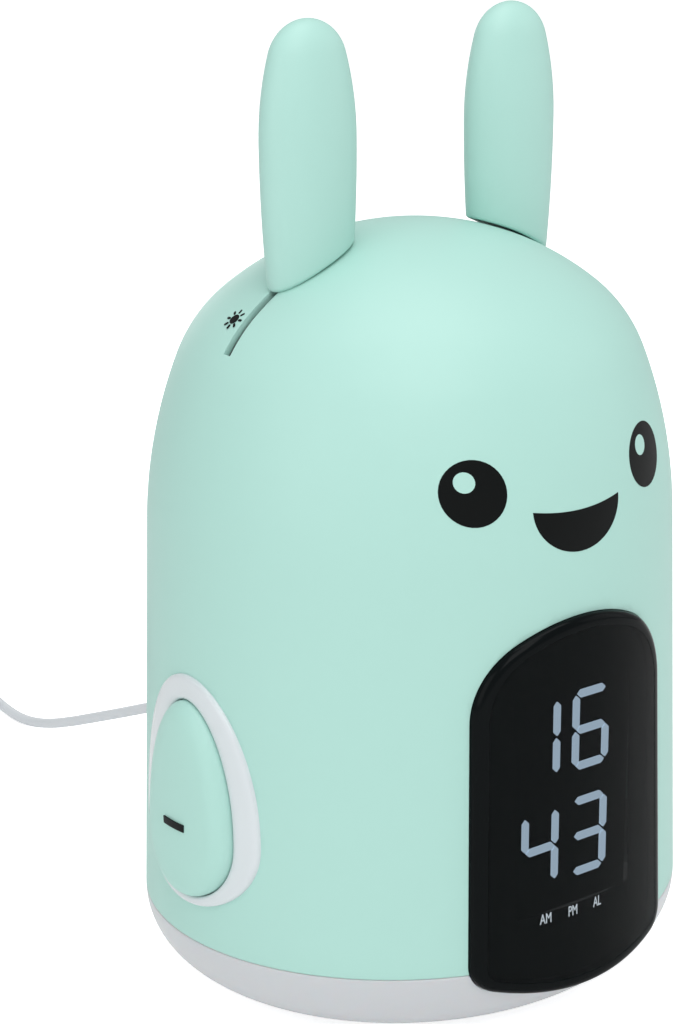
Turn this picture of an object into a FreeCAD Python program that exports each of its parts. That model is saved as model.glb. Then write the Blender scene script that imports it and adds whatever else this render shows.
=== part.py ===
import FreeCAD, Part
import math
import os
from types import SimpleNamespace

# Bedside alarm clock with a night light in its base and two tilting ears.
# Millimetres. +Z up, front towards -Y, origin on the table under the middle.

DOC = FreeCAD.newDocument("alarm_clock")
VEC = FreeCAD.Vector
UP = VEC(0, 0, 1)

SIZES = {
    # body, from the top of the dome down to the seam
    "body_height": 186, "crown_radius": 74.5, "crown_angle": 38.1,
    "shoulder_radius": 36, "shoulder_angle": 68, "haunch_radius": 115,
    "side_draft": 2, "seam_height": 21.4, "depth_ratio": 0.93,
    "shell_wall": 2.2, "fit_gap": 0.3, "slip_gap": 0.15,
    # lit base ring, cover and feet
    "base_clearance": 1.4, "base_flat_radius": 43, "ring_wall": 2.4,
    "lip_height": 3, "lip_wall": 1.8, "lip_root": 3.4,
    "cover_opening_radius": 40, "cover_rim_thickness": 1.2,
    "cover_thickness": 2.6, "foot_radius": 5, "foot_spread": 22.5,
    "foot_recess": 0.8, "cover_screw_spread": 26, "cover_screw_radius": 1.5,
    "screw_head_radius": 2.9, "screw_head_height": 1.6,
    # chassis deck and the boards on it
    "deck_height": 26.6, "deck_thickness": 2, "deck_inset": 6.66,
    "deck_front_edge": 43, "deck_rear_edge": 40, "leg_radius": 4,
    "boss_radius": 4, "boss_top": 52, "boss_bite": 0.3,
    "post_height": 6, "post_radius": 2.5,
    "board_thickness": 1.6, "main_board_width": 60, "main_board_depth": 46,
    "board_post_inset": 5, "can_radius": 3.2, "can_height": 11,
    "light_board_outer": 34, "light_board_inner": 20, "light_board_height": 12,
    "light_count": 12, "light_size": 3.5, "light_thickness": 1.4,
    # display pod on the front
    "pod_width": 60, "pod_top_width": 57.6, "pod_bottom": 13,
    "pod_top": 104.6, "pod_crown_radius": 40, "pod_corner_radius": 20,
    "pod_foot_radius": 7, "pod_foot_arc": 84,
    "pod_proud": 2, "pod_depth": 5.2, "pod_rim": 3, "pod_rounding": 1.3,
    "lens_thickness": 2, "lens_sink": 0.5, "mask_thickness": 0.8,
    "aperture_width": 36, "aperture_bottom": 33, "aperture_top": 88,
    "module_gap": 0.95, "module_depth": 7, "module_width": 40,
    "module_bottom": 30, "module_top": 90,
    "digit_height": 20, "digit_width": 11.3, "digit_half_pitch": 7.7,
    "digit_row_pitch": 27.1, "digit_base": 36.8, "digit_stroke": 1.9,
    "digit_relief": 0.5, "display_board_width": 50, "display_board_top": 94,
    # oval side keys
    "key_ring_half_width": 22.5, "key_ring_middle": 50, "key_ring_low": 18.8,
    "key_ring_high": 37.8, "key_half_width": 15.6, "key_middle": 49,
    "key_low": 15.7, "key_high": 32.8, "key_ring_proud": 1.5,
    "key_flange_lap": 2.5, "key_flange_thickness": 1.6, "key_wall": 1.8,
    "key_dome_depth": 4.57, "key_dome_rise": 9, "key_dome_width": 16.6,
    "key_dome_length": 30, "key_dome_middle": 56, "key_skirt_length": 3.7,
    "key_travel": 1.2, "key_board_depth": 17.87, "key_board_width": 38,
    "key_board_length": 42, "key_stem_radius": 3,
    "mark_length": 8, "mark_width": 1.8, "mark_height": 52,
    "mark_thickness": 0.4, "switch_width": 6, "switch_height": 3.6,
    # ears: egg-topped shells that tilt about the middle of the crown
    "ear_place": 30.1, "ear_top": 234.5, "ear_tip_radius": 10.3,
    "ear_widest": 207.6, "ear_half_width": 12.57, "ear_taper_radius": 347,
    "ear_depth_ratio": 0.62, "ear_wall": 1.8, "ear_gap": 0.4,
    "ear_plate_thickness": 2.5, "ear_tilt": 20, "slot_width": 2,
    "stop_gap_angle": 0.35, "stop_angle": 2.2, "stem_thickness": 1.6,
    "stem_half_angle": 2.8,
    "slider_outer": 69.3, "slider_inner": 64, "slider_width": 9,
    "slider_half_angle": 5.5, "guide_floor_outer": 63.6,
    "guide_floor_inner": 61, "guide_width": 15, "guide_wall": 2,
    "ear_screw_radius": 1.2,
    # back panel, its four keys, the speaker and the power inlet
    "rear_width": 56, "rear_bottom": 24, "rear_top": 100, "rear_corner": 8,
    "rear_key_radius": 4, "rear_key_pitch": 12,
    "rear_key_height": 88, "rear_key_proud": 1.2, "rear_key_travel": 0.8,
    "rear_flange_lap": 1, "rear_lap": 2, "rear_frame": 3,
    "rear_lip_thickness": 1.6, "rear_board_depth": 13.9, "rear_board_width": 56,
    "rear_board_height": 14, "rear_post_place": 25.2, "rear_post_radius": 1.8,
    "grille_height": 61, "grille_pitch": 4.2,
    "grille_hole_radius": 1, "grille_rings": 3, "speaker_radius": 18,
    "speaker_inset": 5.74, "speaker_depth": 12, "speaker_magnet": 10,
    "inlet_height": 32, "inlet_radius": 5.4, "inlet_bore": 2.9,
    "inlet_sink": 0.9, "inlet_length": 13,
    # low-voltage lead
    "plug_radius": 4.6, "plug_length": 17, "relief_length": 16,
    "relief_radius": 2.4, "cord_diameter": 3, "coil_x": -12, "coil_y": 240,
    "coil_inner": 13, "coil_pitch": 3.6, "coil_step": 3.6,
    "grip_length": 26, "grip_width": 15.5, "grip_height": 7.5,
    "usb_width": 12, "usb_height": 4.5, "usb_length": 18.7,
    "usb_wall": 0.4, "tongue_thickness": 1.9,
    # coin cell that keeps the time when the lead is out
    "cell_radius": 10, "cell_thickness": 3.2, "holder_wall": 1.5,
    "door_radius": 12.5,
}

sheet = DOC.addObject("Spreadsheet::Sheet", "sizes")
for row, (word, value) in enumerate(SIZES.items(), start=1):
    sheet.set("A%d" % row, word)
    sheet.set("B%d" % row, str(value))
    sheet.setAlias("B%d" % row, word)
DOC.recompute()
z = SimpleNamespace(**{word: float(sheet.get(word)) for word in SIZES})
NODES = {}


def keep(name, shape):
    """A sub-part whose shape is worked out here from the sheet's values."""
    item = DOC.addObject("Part::Feature", name)
    item.Label = name
    item.Shape = shape
    NODES[name] = item
    return item


def bound(kind, name, **rules):
    """A Part primitive whose sizes and place are bound to the sheet."""
    item = DOC.addObject("Part::" + kind, name)
    for prop, rule in rules.items():
        item.setExpression(prop.replace("__", "."), rule)
    return item


def place(item, across="0", along="0", height="0"):
    for axis, rule in (("x", across), ("y", along), ("z", height)):
        item.setExpression("Placement.Base." + axis, rule)
    return item


def boolean(kind, name, first, second):
    item = DOC.addObject("Part::" + kind, name)
    item.Base = first
    item.Tool = second
    return item


def gather(name, items):
    """Separate like solids kept together in one sub-part."""
    item = DOC.addObject("Part::Compound", name)
    item.Links = items
    item.Label = name
    NODES[name] = item
    return item


def final(item, name):
    item.Label = name
    NODES[name] = item
    return item


def joined(shapes):
    whole = shapes[0].fuse(shapes[1:]) if len(shapes) > 1 else shapes[0]
    return whole.removeSplitter()


def rod(radius, start, end):
    """A round bar from one point to another."""
    run = end.sub(start)
    return Part.makeCylinder(radius, run.Length, start, run)


def block(low, high):
    size = VEC(*high).sub(VEC(*low))
    return Part.makeBox(size.x, size.y, size.z, VEC(*low))


# Body surfaces: everything round is drawn as a circle and squeezed in Y.

def squeezed(shape):
    matrix = FreeCAD.Matrix()
    matrix.scale(1, z.depth_ratio, 1)
    return shape.transformGeometry(matrix)


def arc_on(centre, radius, first, last):
    """Arc in the XZ plane; angles in degrees from straight up."""
    def at(angle):
        turn = math.radians(angle)
        return VEC(centre.x + radius * math.sin(turn), 0, centre.z + radius * math.cos(turn))
    return Part.Arc(at(first), at((first + last) / 2), at(last)).toShape(), at(first), at(last)


def step_centre(centre, old_radius, new_radius, angle):
    """Centre of the next tangent arc of the body's profile."""
    turn = math.radians(angle)
    move = old_radius - new_radius
    return VEC(centre.x + move * math.sin(turn), 0, centre.z + move * math.cos(turn))


crown_centre = VEC(0, 0, z.body_height - z.crown_radius)
shoulder_centre = step_centre(crown_centre, z.crown_radius, z.shoulder_radius, z.crown_angle)
haunch_centre = step_centre(shoulder_centre, z.shoulder_radius, z.haunch_radius, z.shoulder_angle)
draft = math.radians(z.side_draft)
side_top = VEC(haunch_centre.x + z.haunch_radius * math.cos(draft), 0,
               haunch_centre.z + z.haunch_radius * math.sin(draft))


def side_radius(height, proud=0.0):
    """Half width of the drafted side wall at a height, before the squeeze in Y."""
    return side_top.x + proud / math.cos(draft) + (side_top.z - height) * math.tan(draft)


seam_radius = side_radius(z.seam_height)
# The back panel stands as far out behind as the pod does in front.
rear_proud = z.pod_proud + side_radius(z.pod_bottom) - side_radius(z.rear_bottom)
mask_back = z.pod_proud - z.lens_sink - z.lens_thickness - z.slip_gap - z.mask_thickness
boss_reach = side_radius(z.boss_top) - z.shell_wall - z.boss_radius + z.boss_bite
module_room = math.sqrt((side_radius(z.module_top) + mask_back) ** 2 - (z.module_width / 2) ** 2)


def follow(word, value):
    """A place that follows the wall, kept in the sheet beside the driving sizes."""
    row = len(vars(z)) + 1
    sheet.set("A%d" % row, word)
    sheet.set("B%d" % row, "%.4f" % value)
    sheet.setAlias("B%d" % row, word)
    DOC.recompute()
    setattr(z, word, float(sheet.get(word)))


follow("deck_radius", side_radius(z.deck_height) - z.deck_inset)
follow("boss_spread", boss_reach / math.sqrt(2))
follow("module_face", z.depth_ratio * module_room - z.module_gap)
follow("key_dome_start", side_radius(z.key_middle) - z.key_dome_depth)
follow("key_skirt_start", z.key_dome_start - z.key_skirt_length)
follow("key_board_place", side_radius(z.key_middle) - z.key_board_depth)
follow("rear_board_place", z.depth_ratio * side_radius(z.rear_key_height) - z.rear_board_depth)
follow("speaker_front", z.depth_ratio * side_radius(z.grille_height) - z.speaker_inset)
follow("inlet_face", z.depth_ratio * side_radius(z.inlet_height, rear_proud) - z.inlet_sink)
follow("plug_end", z.inlet_face + z.plug_length)
follow("relief_end", z.plug_end + z.relief_length)


def dome(inset, bottom):
    """Solid inside the body's outer surface moved in by inset, above bottom."""
    crown, top, crown_end = arc_on(crown_centre, z.crown_radius - inset, 0, z.crown_angle)
    shoulder, _, shoulder_end = arc_on(shoulder_centre, z.shoulder_radius - inset,
                                       z.crown_angle, z.shoulder_angle)
    haunch, _, haunch_end = arc_on(haunch_centre, z.haunch_radius - inset,
                                   z.shoulder_angle, 90 - z.side_draft)
    foot = VEC(side_radius(bottom, -inset), 0, bottom)
    middle = VEC(0, 0, bottom)
    wire = Part.Wire([crown, shoulder, haunch, Part.makeLine(haunch_end, foot),
                      Part.makeLine(foot, middle), Part.makeLine(middle, top)])
    return squeezed(Part.Face(wire).revolve(VEC(), UP, 360))


def side_cone(proud, low, high):
    """The drafted side wall as a solid, proud of the body's surface."""
    cone = Part.makeCone(side_radius(low, proud), side_radius(high, proud), high - low,
                         VEC(0, 0, low), UP)
    return squeezed(cone)


def oval_disc(radius, low, high):
    return squeezed(Part.makeCylinder(radius, high - low, VEC(0, 0, low), UP))


def oval_ring(outer, inner, low, high):
    return oval_disc(outer, low, high).cut(oval_disc(inner, low - 1, high + 1))


# Outline of the display pod, seen from the front.

def pod_outline(inset, near, far):
    """Upright pill with an arched top and a shallow curved foot, as a prism along Y."""
    half = z.pod_width / 2 - inset
    top_half = z.pod_top_width / 2 - inset
    crown = z.pod_crown_radius - inset
    corner = z.pod_corner_radius - inset
    crown_mid = z.pod_top - z.pod_crown_radius
    corner_x = z.pod_top_width / 2 - z.pod_corner_radius
    corner_z = crown_mid + math.sqrt((z.pod_crown_radius - z.pod_corner_radius) ** 2 - corner_x ** 2)
    lean = math.atan2(corner_x, corner_z - crown_mid)
    foot = z.pod_foot_radius - min(inset, z.pod_foot_radius - 1)
    foot_mid = z.pod_bottom + z.pod_foot_arc
    foot_x = half - foot
    foot_z = foot_mid - math.sqrt((z.pod_foot_arc - inset - foot) ** 2 - foot_x ** 2)
    low_lean = math.atan2(foot_x, foot_mid - foot_z)

    def at(x, height):
        return VEC(x, 0, height)

    def on(x, height, radius, angle):
        return at(x + radius * math.sin(angle), height + radius * math.cos(angle))
    crown_right = on(corner_x, corner_z, corner, lean)
    side_right = at(corner_x + corner, corner_z)
    foot_right = at(half, foot_z)
    low_right = on(foot_x, foot_z, foot, math.pi - low_lean)
    mid_corner = on(corner_x, corner_z, corner, (lean + math.pi / 2) / 2)
    mid_foot = on(foot_x, foot_z, foot, (math.pi / 2 + math.pi - low_lean) / 2)

    def mirror(point):
        return at(-point.x, point.z)
    apex = at(0, crown_mid + crown)
    base = at(0, z.pod_bottom + inset)
    edges = [
        Part.Arc(mirror(crown_right), apex, crown_right).toShape(),
        Part.Arc(crown_right, mid_corner, side_right).toShape(),
        Part.makeLine(side_right, foot_right),
        Part.Arc(foot_right, mid_foot, low_right).toShape(),
        Part.Arc(low_right, base, mirror(low_right)).toShape(),
        Part.Arc(mirror(low_right), mirror(mid_foot), mirror(foot_right)).toShape(),
        Part.makeLine(mirror(foot_right), mirror(side_right)),
        Part.Arc(mirror(side_right), mirror(mid_corner), mirror(crown_right)).toShape(),
    ]
    face = Part.Face(Part.Wire(edges))
    face.translate(VEC(0, -far, 0))
    return face.extrude(VEC(0, far - near, 0))


# Outline of a side key, an egg made of two half ellipses, as a prism along X.

def egg(inset, half, middle, low, high, start, end):
    quarter_y, quarter_low, quarter_high = half - inset, low - inset, high - inset
    faces = []
    for reach, sign in ((quarter_high, 1), (quarter_low, -1)):
        centre = VEC(0, 0, middle)
        tall = VEC(0, 0, middle + sign * reach)
        wide = VEC(0, quarter_y, middle)
        if reach > quarter_y:
            curve = Part.Ellipse(tall, wide, centre)
        else:
            curve = Part.Ellipse(wide, tall, centre)
        faces.append(Part.Face(Part.Wire([curve.toShape()])).extrude(VEC(end - start, 0, 0)))
    room = 2 * (high + low + half)
    upper = faces[0].common(block((-1, -room, middle), (end - start + 1, room, middle + room)))
    lower = faces[1].common(block((-1, -room, middle - room), (end - start + 1, room, middle)))
    prism = upper.fuse(lower).removeSplitter()
    prism.translate(VEC(start, 0, 0))
    return prism


def ring_egg(inset, start, end):
    return egg(inset, z.key_ring_half_width, z.key_ring_middle, z.key_ring_low,
               z.key_ring_high, start, end)


def key_egg(inset, start, end):
    return egg(inset, z.key_half_width, z.key_middle, z.key_low, z.key_high, start, end)


def both_sides(shape):
    """The shape as made at +X and its mirror image at -X."""
    return {"plus": shape, "minus": shape.mirror(VEC(), VEC(1, 0, 0))}


FAR = 90
INSIDE = 30


# Sector between two radii round the crown's centre, as wide as width in Y.

def sector(inner, outer, width, first, last):
    outer_arc, start, end = arc_on(crown_centre, outer, first, last)
    inner_arc, low_start, low_end = arc_on(crown_centre, inner, first, last)
    wire = Part.Wire([outer_arc, Part.makeLine(end, low_end), inner_arc,
                      Part.makeLine(low_start, start)])
    face = Part.Face(wire)
    face.translate(VEC(0, -width / 2, 0))
    return face.extrude(VEC(0, width, 0))


ear_angle = math.degrees(math.asin(z.ear_place / z.crown_radius))
tilted_angle = ear_angle + z.ear_tilt + z.stop_gap_angle
boss_places = [VEC(x * z.boss_spread, y * z.boss_spread * z.depth_ratio, 0)
               for x in (-1, 1) for y in (-1, 1)]


def make_body_shell():
    outer = dome(0, z.seam_height)
    wall = outer.cut(dome(z.shell_wall, z.seam_height - 1))
    room = dome(z.slip_gap, z.seam_height)
    deck_top = z.deck_height + z.deck_thickness
    bosses = []
    for spot in boss_places:
        boss = rod(z.boss_radius, VEC(spot.x, spot.y, deck_top), VEC(spot.x, spot.y, z.boss_top))
        bore = rod(z.cover_screw_radius * 0.8, VEC(spot.x, spot.y, deck_top),
                   VEC(spot.x, spot.y, z.boss_top - z.shell_wall))
        bosses.append(boss.common(room).cut(bore))
    shell = joined([wall] + bosses)
    cuts = [pod_outline(-z.slip_gap, INSIDE, FAR)]
    cuts.append(rear_prism(-z.slip_gap))
    for side in both_sides(ring_egg(-z.slip_gap, INSIDE, FAR)).values():
        cuts.append(side)
    slot = sector(z.crown_radius - 4 * z.shell_wall, z.crown_radius + 5, z.slot_width,
                  ear_angle - z.stem_half_angle - 1, tilted_angle + z.stem_half_angle)
    for side in both_sides(slot).values():
        cuts.append(side)
    return keep("body_shell", shell.cut(cuts))


def rear_prism(inset):
    """Rounded upright rectangle on the back, as a prism along Y."""
    half = z.rear_width / 2 - inset
    slab = block((-half, INSIDE, z.rear_bottom + inset), (half, FAR, z.rear_top - inset))
    upright = [edge for edge in slab.Edges
               if abs(edge.Vertexes[0].Y - edge.Vertexes[1].Y) > 1]
    return slab.makeFillet(z.rear_corner - inset, upright)


def make_base():
    side = seam_radius - z.base_flat_radius
    rise = z.seam_height - z.base_clearance

    def bowl(inset):
        middle = VEC(z.base_flat_radius, 0, z.seam_height)
        out = VEC(middle.x + side - inset, 0, middle.z)
        down = VEC(middle.x, 0, middle.z - rise + inset)
        if side > rise:
            curve = Part.Ellipse(out, down, middle)
        else:
            curve = Part.Ellipse(down, out, middle)
        start, end = sorted((curve.parameter(out), curve.parameter(down)))
        if end - start > math.pi:
            start, end = end, start + 2 * math.pi
        arc = curve.toShape(start, end)
        top = VEC(0, 0, z.seam_height)
        low = VEC(0, 0, down.z)
        wire = Part.Wire([Part.makeLine(top, out), arc, Part.makeLine(down, low),
                          Part.makeLine(low, top)])
        return squeezed(Part.Face(wire).revolve(VEC(), UP, 360))
    lip_outer = seam_radius - z.shell_wall - z.slip_gap
    lip = oval_ring(lip_outer - 0.3, lip_outer - z.lip_wall, z.seam_height - z.lip_root,
                    z.seam_height + z.lip_height)
    ring = bowl(0).cut(bowl(z.ring_wall))
    recess_top = z.base_clearance + z.cover_rim_thickness
    openings = [oval_disc(z.cover_opening_radius, 0, z.base_clearance + 2 * z.ring_wall),
                oval_disc(z.base_flat_radius, 0, recess_top)]
    pod = pod_outline(-z.slip_gap, INSIDE, FAR)
    panel_room = rear_prism(-z.rear_lap - z.slip_gap)
    keep("base_light_ring", ring.fuse(lip).removeSplitter().cut(openings + [pod, panel_room]))

    rim = oval_disc(z.base_flat_radius - z.fit_gap, z.base_clearance, recess_top - z.slip_gap)
    plug = oval_disc(z.cover_opening_radius - z.fit_gap, z.base_clearance,
                     z.base_clearance + z.cover_thickness)
    cover = rim.fuse(plug).removeSplitter()
    cuts = []
    for spot in foot_places():
        cuts.append(rod(z.foot_radius, VEC(spot.x, spot.y, 0),
                        VEC(spot.x, spot.y, z.base_clearance + z.foot_recess)))
    for spot in leg_places():
        cuts.append(rod(z.cover_screw_radius + z.slip_gap, VEC(spot.x, spot.y, 0),
                        VEC(spot.x, spot.y, 10)))
        cuts.append(rod(z.screw_head_radius + z.slip_gap, VEC(spot.x, spot.y, 0),
                        VEC(spot.x, spot.y, z.base_clearance + z.screw_head_height)))
    cuts.append(rod(z.door_radius + z.slip_gap, VEC(), VEC(0, 0, 10)))
    keep("bottom_cover", cover.cut(cuts))


def foot_places():
    return [VEC(x * z.foot_spread, y * z.foot_spread, 0) for x in (-1, 1) for y in (-1, 1)]


def leg_places():
    return [VEC(0, -z.cover_screw_spread, 0), VEC(0, z.cover_screw_spread, 0),
            VEC(-z.cover_screw_spread - 4, 0, 0), VEC(z.cover_screw_spread + 4, 0, 0)]


def make_feet():
    feet = []
    for number, (x, y) in enumerate(((-1, -1), (-1, 1), (1, -1), (1, 1)), start=1):
        foot = bound("Cylinder", "foot_%d" % number, Radius="sizes.foot_radius",
                     Height="sizes.base_clearance + sizes.foot_recess")
        feet.append(place(foot, "%d * sizes.foot_spread" % x, "%d * sizes.foot_spread" % y))
    gather("rubber_feet", feet)


def screw(spot, head_low, shank_top, radius):
    """A pan screw along Z: head at the low end, shank up to shank_top."""
    head = rod(z.screw_head_radius, VEC(spot.x, spot.y, head_low),
               VEC(spot.x, spot.y, head_low + z.screw_head_height))
    shank = rod(radius, VEC(spot.x, spot.y, head_low), VEC(spot.x, spot.y, shank_top))
    drive = rod(radius, VEC(spot.x, spot.y, head_low),
                VEC(spot.x, spot.y, head_low + z.screw_head_height / 2))
    return head.fuse(shank).removeSplitter().cut(drive)


def make_chassis():
    low, high = z.deck_height, z.deck_height + z.deck_thickness
    deck = oval_disc(z.deck_radius, low, high)
    deck = deck.cut([block((-FAR, -FAR, low - 1), (FAR, -z.deck_front_edge, high + 1)),
                     block((-z.rear_width / 2, z.deck_rear_edge, low - 1),
                           (z.rear_width / 2, FAR, high + 1))])
    cover_top = z.base_clearance + z.cover_thickness
    solids = [deck]
    holes = []
    for spot in leg_places():
        solids.append(rod(z.leg_radius, VEC(spot.x, spot.y, cover_top), VEC(spot.x, spot.y, low + 1)))
        holes.append(rod(z.cover_screw_radius * 0.8, VEC(spot.x, spot.y, 0),
                         VEC(spot.x, spot.y, z.deck_height - z.deck_thickness)))
    for spot in board_posts():
        solids.append(rod(z.post_radius, VEC(spot.x, spot.y, high - 1),
                          VEC(spot.x, spot.y, high + z.post_height)))
    for spot in boss_places:
        holes.append(rod(z.cover_screw_radius + z.slip_gap, VEC(spot.x, spot.y, low - 1),
                         VEC(spot.x, spot.y, high + 1)))
    keep("chassis", joined(solids).cut(holes))
    keep("cover_screws", Part.makeCompound([
        screw(spot, z.base_clearance, z.deck_height - 2 * z.deck_thickness,
              z.cover_screw_radius * 0.8) for spot in leg_places()]))
    keep("chassis_screws", Part.makeCompound([
        screw(spot, low - z.screw_head_height, z.boss_top - 3 * z.shell_wall,
              z.cover_screw_radius * 0.8) for spot in boss_places]))


def board_posts():
    return [VEC(x * (z.main_board_width / 2 - z.board_post_inset),
                y * (z.main_board_depth / 2 - z.board_post_inset), 0)
            for x in (-1, 1) for y in (-1, 1)]


# Blocks on the main board: left, front, right and back edges, then height.
BOARD_BLOCKS = {
    "processor": (-7, -7, 7, 7, 1.4), "memory": (12, -9, 20, -4, 1.5),
    "display_socket": (-24, 8, -12, 14, 6), "key_socket": (12, 6, 24, 12, 6),
}
CAN_PLACES = [(-17, -8), (-17, 0)]


def make_boards():
    deck_top = "sizes.deck_height + sizes.deck_thickness + sizes.post_height"
    board = bound("Box", "main_board", Length="sizes.main_board_width",
                  Width="sizes.main_board_depth", Height="sizes.board_thickness")
    place(board, "-sizes.main_board_width / 2", "-sizes.main_board_depth / 2", deck_top)
    final(board, "main_board")
    top = z.deck_height + z.deck_thickness + z.post_height + z.board_thickness
    chips = [block((left, front, top), (right, back, top + rise))
             for left, front, right, back, rise in BOARD_BLOCKS.values()]
    chips += [rod(z.can_radius, VEC(x, y, top), VEC(x, y, top + z.can_height))
              for x, y in CAN_PLACES]
    keep("main_board_parts", Part.makeCompound(chips))
    light_low = z.light_board_height
    posts_out = [rod(z.leg_radius + z.slip_gap, VEC(spot.x, spot.y, 0), VEC(spot.x, spot.y, 40))
                 for spot in leg_places()]
    light_board = oval_ring(z.light_board_outer, z.light_board_inner, light_low,
                            light_low + z.board_thickness).cut(posts_out)
    keep("night_light_board", light_board)
    lights = []
    orbit = z.light_board_outer - z.light_size
    for number in range(int(z.light_count)):
        turn = 2 * math.pi * (number + 0.5) / z.light_count
        centre = VEC(orbit * math.cos(turn), orbit * z.depth_ratio * math.sin(turn), light_low)
        light = Part.makeBox(z.light_size, z.light_size, z.light_thickness,
                             VEC(-z.light_size / 2, -z.light_size / 2, -z.light_thickness))
        light.rotate(VEC(), UP, math.degrees(turn))
        light.translate(centre)
        lights.append(light)
    keep("night_light_lamps", Part.makeCompound(lights))


def make_cell():
    cover_top = z.base_clearance + z.cover_thickness
    door = bound("Cylinder", "door_disc", Radius="sizes.door_radius",
                 Height="sizes.cover_thickness")
    place(door, height="sizes.base_clearance")
    coin_slot = bound("Box", "door_slot", Length="1.6 * sizes.cell_radius", Width="2",
                      Height="sizes.cover_thickness / 2")
    place(coin_slot, "-0.8 * sizes.cell_radius", "-1", "sizes.base_clearance")
    final(boolean("Cut", "cell_door", door, coin_slot), "cell_door")
    cell = bound("Cylinder", "backup_cell", Radius="sizes.cell_radius",
                 Height="sizes.cell_thickness")
    place(cell, height="sizes.base_clearance + sizes.cover_thickness + sizes.slip_gap")
    final(cell, "backup_cell")
    low = cover_top
    outer = z.cell_radius + z.fit_gap + z.holder_wall
    cup = rod(outer + 3, VEC(0, 0, low), VEC(0, 0, low + z.cell_thickness + 2 * z.holder_wall))
    inner = rod(z.cell_radius + z.fit_gap, VEC(0, 0, low - 1),
                VEC(0, 0, low + z.cell_thickness + z.holder_wall))
    keep("cell_holder", cup.cut(inner))


def make_display():
    front = side_cone(z.pod_proud, 5, side_top.z)
    back = side_cone(-z.pod_depth, 4, side_top.z + 1)
    outline = pod_outline(0, INSIDE, FAR)
    window = pod_outline(z.pod_rim, INSIDE - 1, FAR + 1)
    block_shape = front.common(outline)
    face_edges = [edge for edge in block_shape.Edges
                  if not abs(edge.BoundBox.YMax + INSIDE) < 0.5
                  and edge.BoundBox.YMax < -INSIDE - 1]
    rounded = block_shape.makeFillet(z.pod_rounding, face_edges)
    keep("display_bezel", rounded.cut(back).cut(window))
    lens_outline = pod_outline(z.pod_rim + z.slip_gap, INSIDE, FAR)
    lens_front = z.pod_proud - z.lens_sink
    lens = side_cone(lens_front, 5, side_top.z).common(lens_outline)
    keep("display_lens", lens.cut(side_cone(lens_front - z.lens_thickness, 4, side_top.z + 1)))
    mask_front = lens_front - z.lens_thickness - z.slip_gap
    mask = side_cone(mask_front, 5, side_top.z).common(lens_outline)
    mask = mask.cut(side_cone(mask_front - z.mask_thickness, 4, side_top.z + 1))
    aperture = block((-z.aperture_width / 2, -FAR, z.aperture_bottom),
                     (z.aperture_width / 2, -INSIDE, z.aperture_top))
    keep("display_mask", mask.cut(aperture))
    module = bound("Box", "module_box", Length="sizes.module_width", Width="sizes.module_depth",
                   Height="sizes.module_top - sizes.module_bottom")
    place(module, "-sizes.module_width / 2", "-sizes.module_face", "sizes.module_bottom")
    final(module, "display_module")
    board = bound("Box", "display_board_box", Length="sizes.display_board_width",
                  Width="sizes.board_thickness",
                  Height="sizes.display_board_top - sizes.deck_height")
    place(board, "-sizes.display_board_width / 2", "sizes.module_depth - sizes.module_face",
          "sizes.deck_height")
    final(board, "display_board")


SEGMENTS = {"1": "bc", "6": "acdefg", "4": "bcfg", "3": "abcdg"}


def digit(mark, left, low):
    """Lit bars of one seven-bar digit, with pointed ends, seen from the front."""
    wide, tall, stroke = z.digit_width, z.digit_height, z.digit_stroke
    half = stroke / 2
    gap = stroke * 0.18
    mid = tall / 2
    right = wide - half
    ends = {"a": ((half, tall - half), (right, tall - half)), "d": ((half, half), (right, half)),
            "g": ((half, mid), (right, mid)), "f": ((half, mid), (half, tall - half)),
            "b": ((right, mid), (right, tall - half)), "e": ((half, half), (half, mid)),
            "c": ((right, half), (right, mid))}
    bars = []
    for name in SEGMENTS[mark]:
        (x1, z1), (x2, z2) = ends[name]
        run = VEC(x2 - x1, 0, z2 - z1)
        length = run.Length
        run.normalize()
        side = VEC(-run.z, 0, run.x)
        start = VEC(left + x1, -z.module_face, low + z1)

        def at(along, across):
            return start + run * along + side * across
        corners = [at(gap, 0), at(gap + half, half), at(length - gap - half, half),
                   at(length - gap, 0), at(length - gap - half, -half), at(gap + half, -half)]
        face = Part.Face(Part.makePolygon(corners + corners[:1]))
        bars.append(face.extrude(VEC(0, -z.digit_relief, 0)))
    return bars


def make_digits():
    bars = []
    for row, marks in enumerate(("43", "16")):
        low = z.digit_base + row * z.digit_row_pitch
        for column, mark in enumerate(marks):
            middle = (2 * column - 1) * z.digit_half_pitch
            bars += digit(mark, middle - z.digit_width / 2, low)
    keep("digit_segments", Part.makeCompound(bars))


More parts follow.
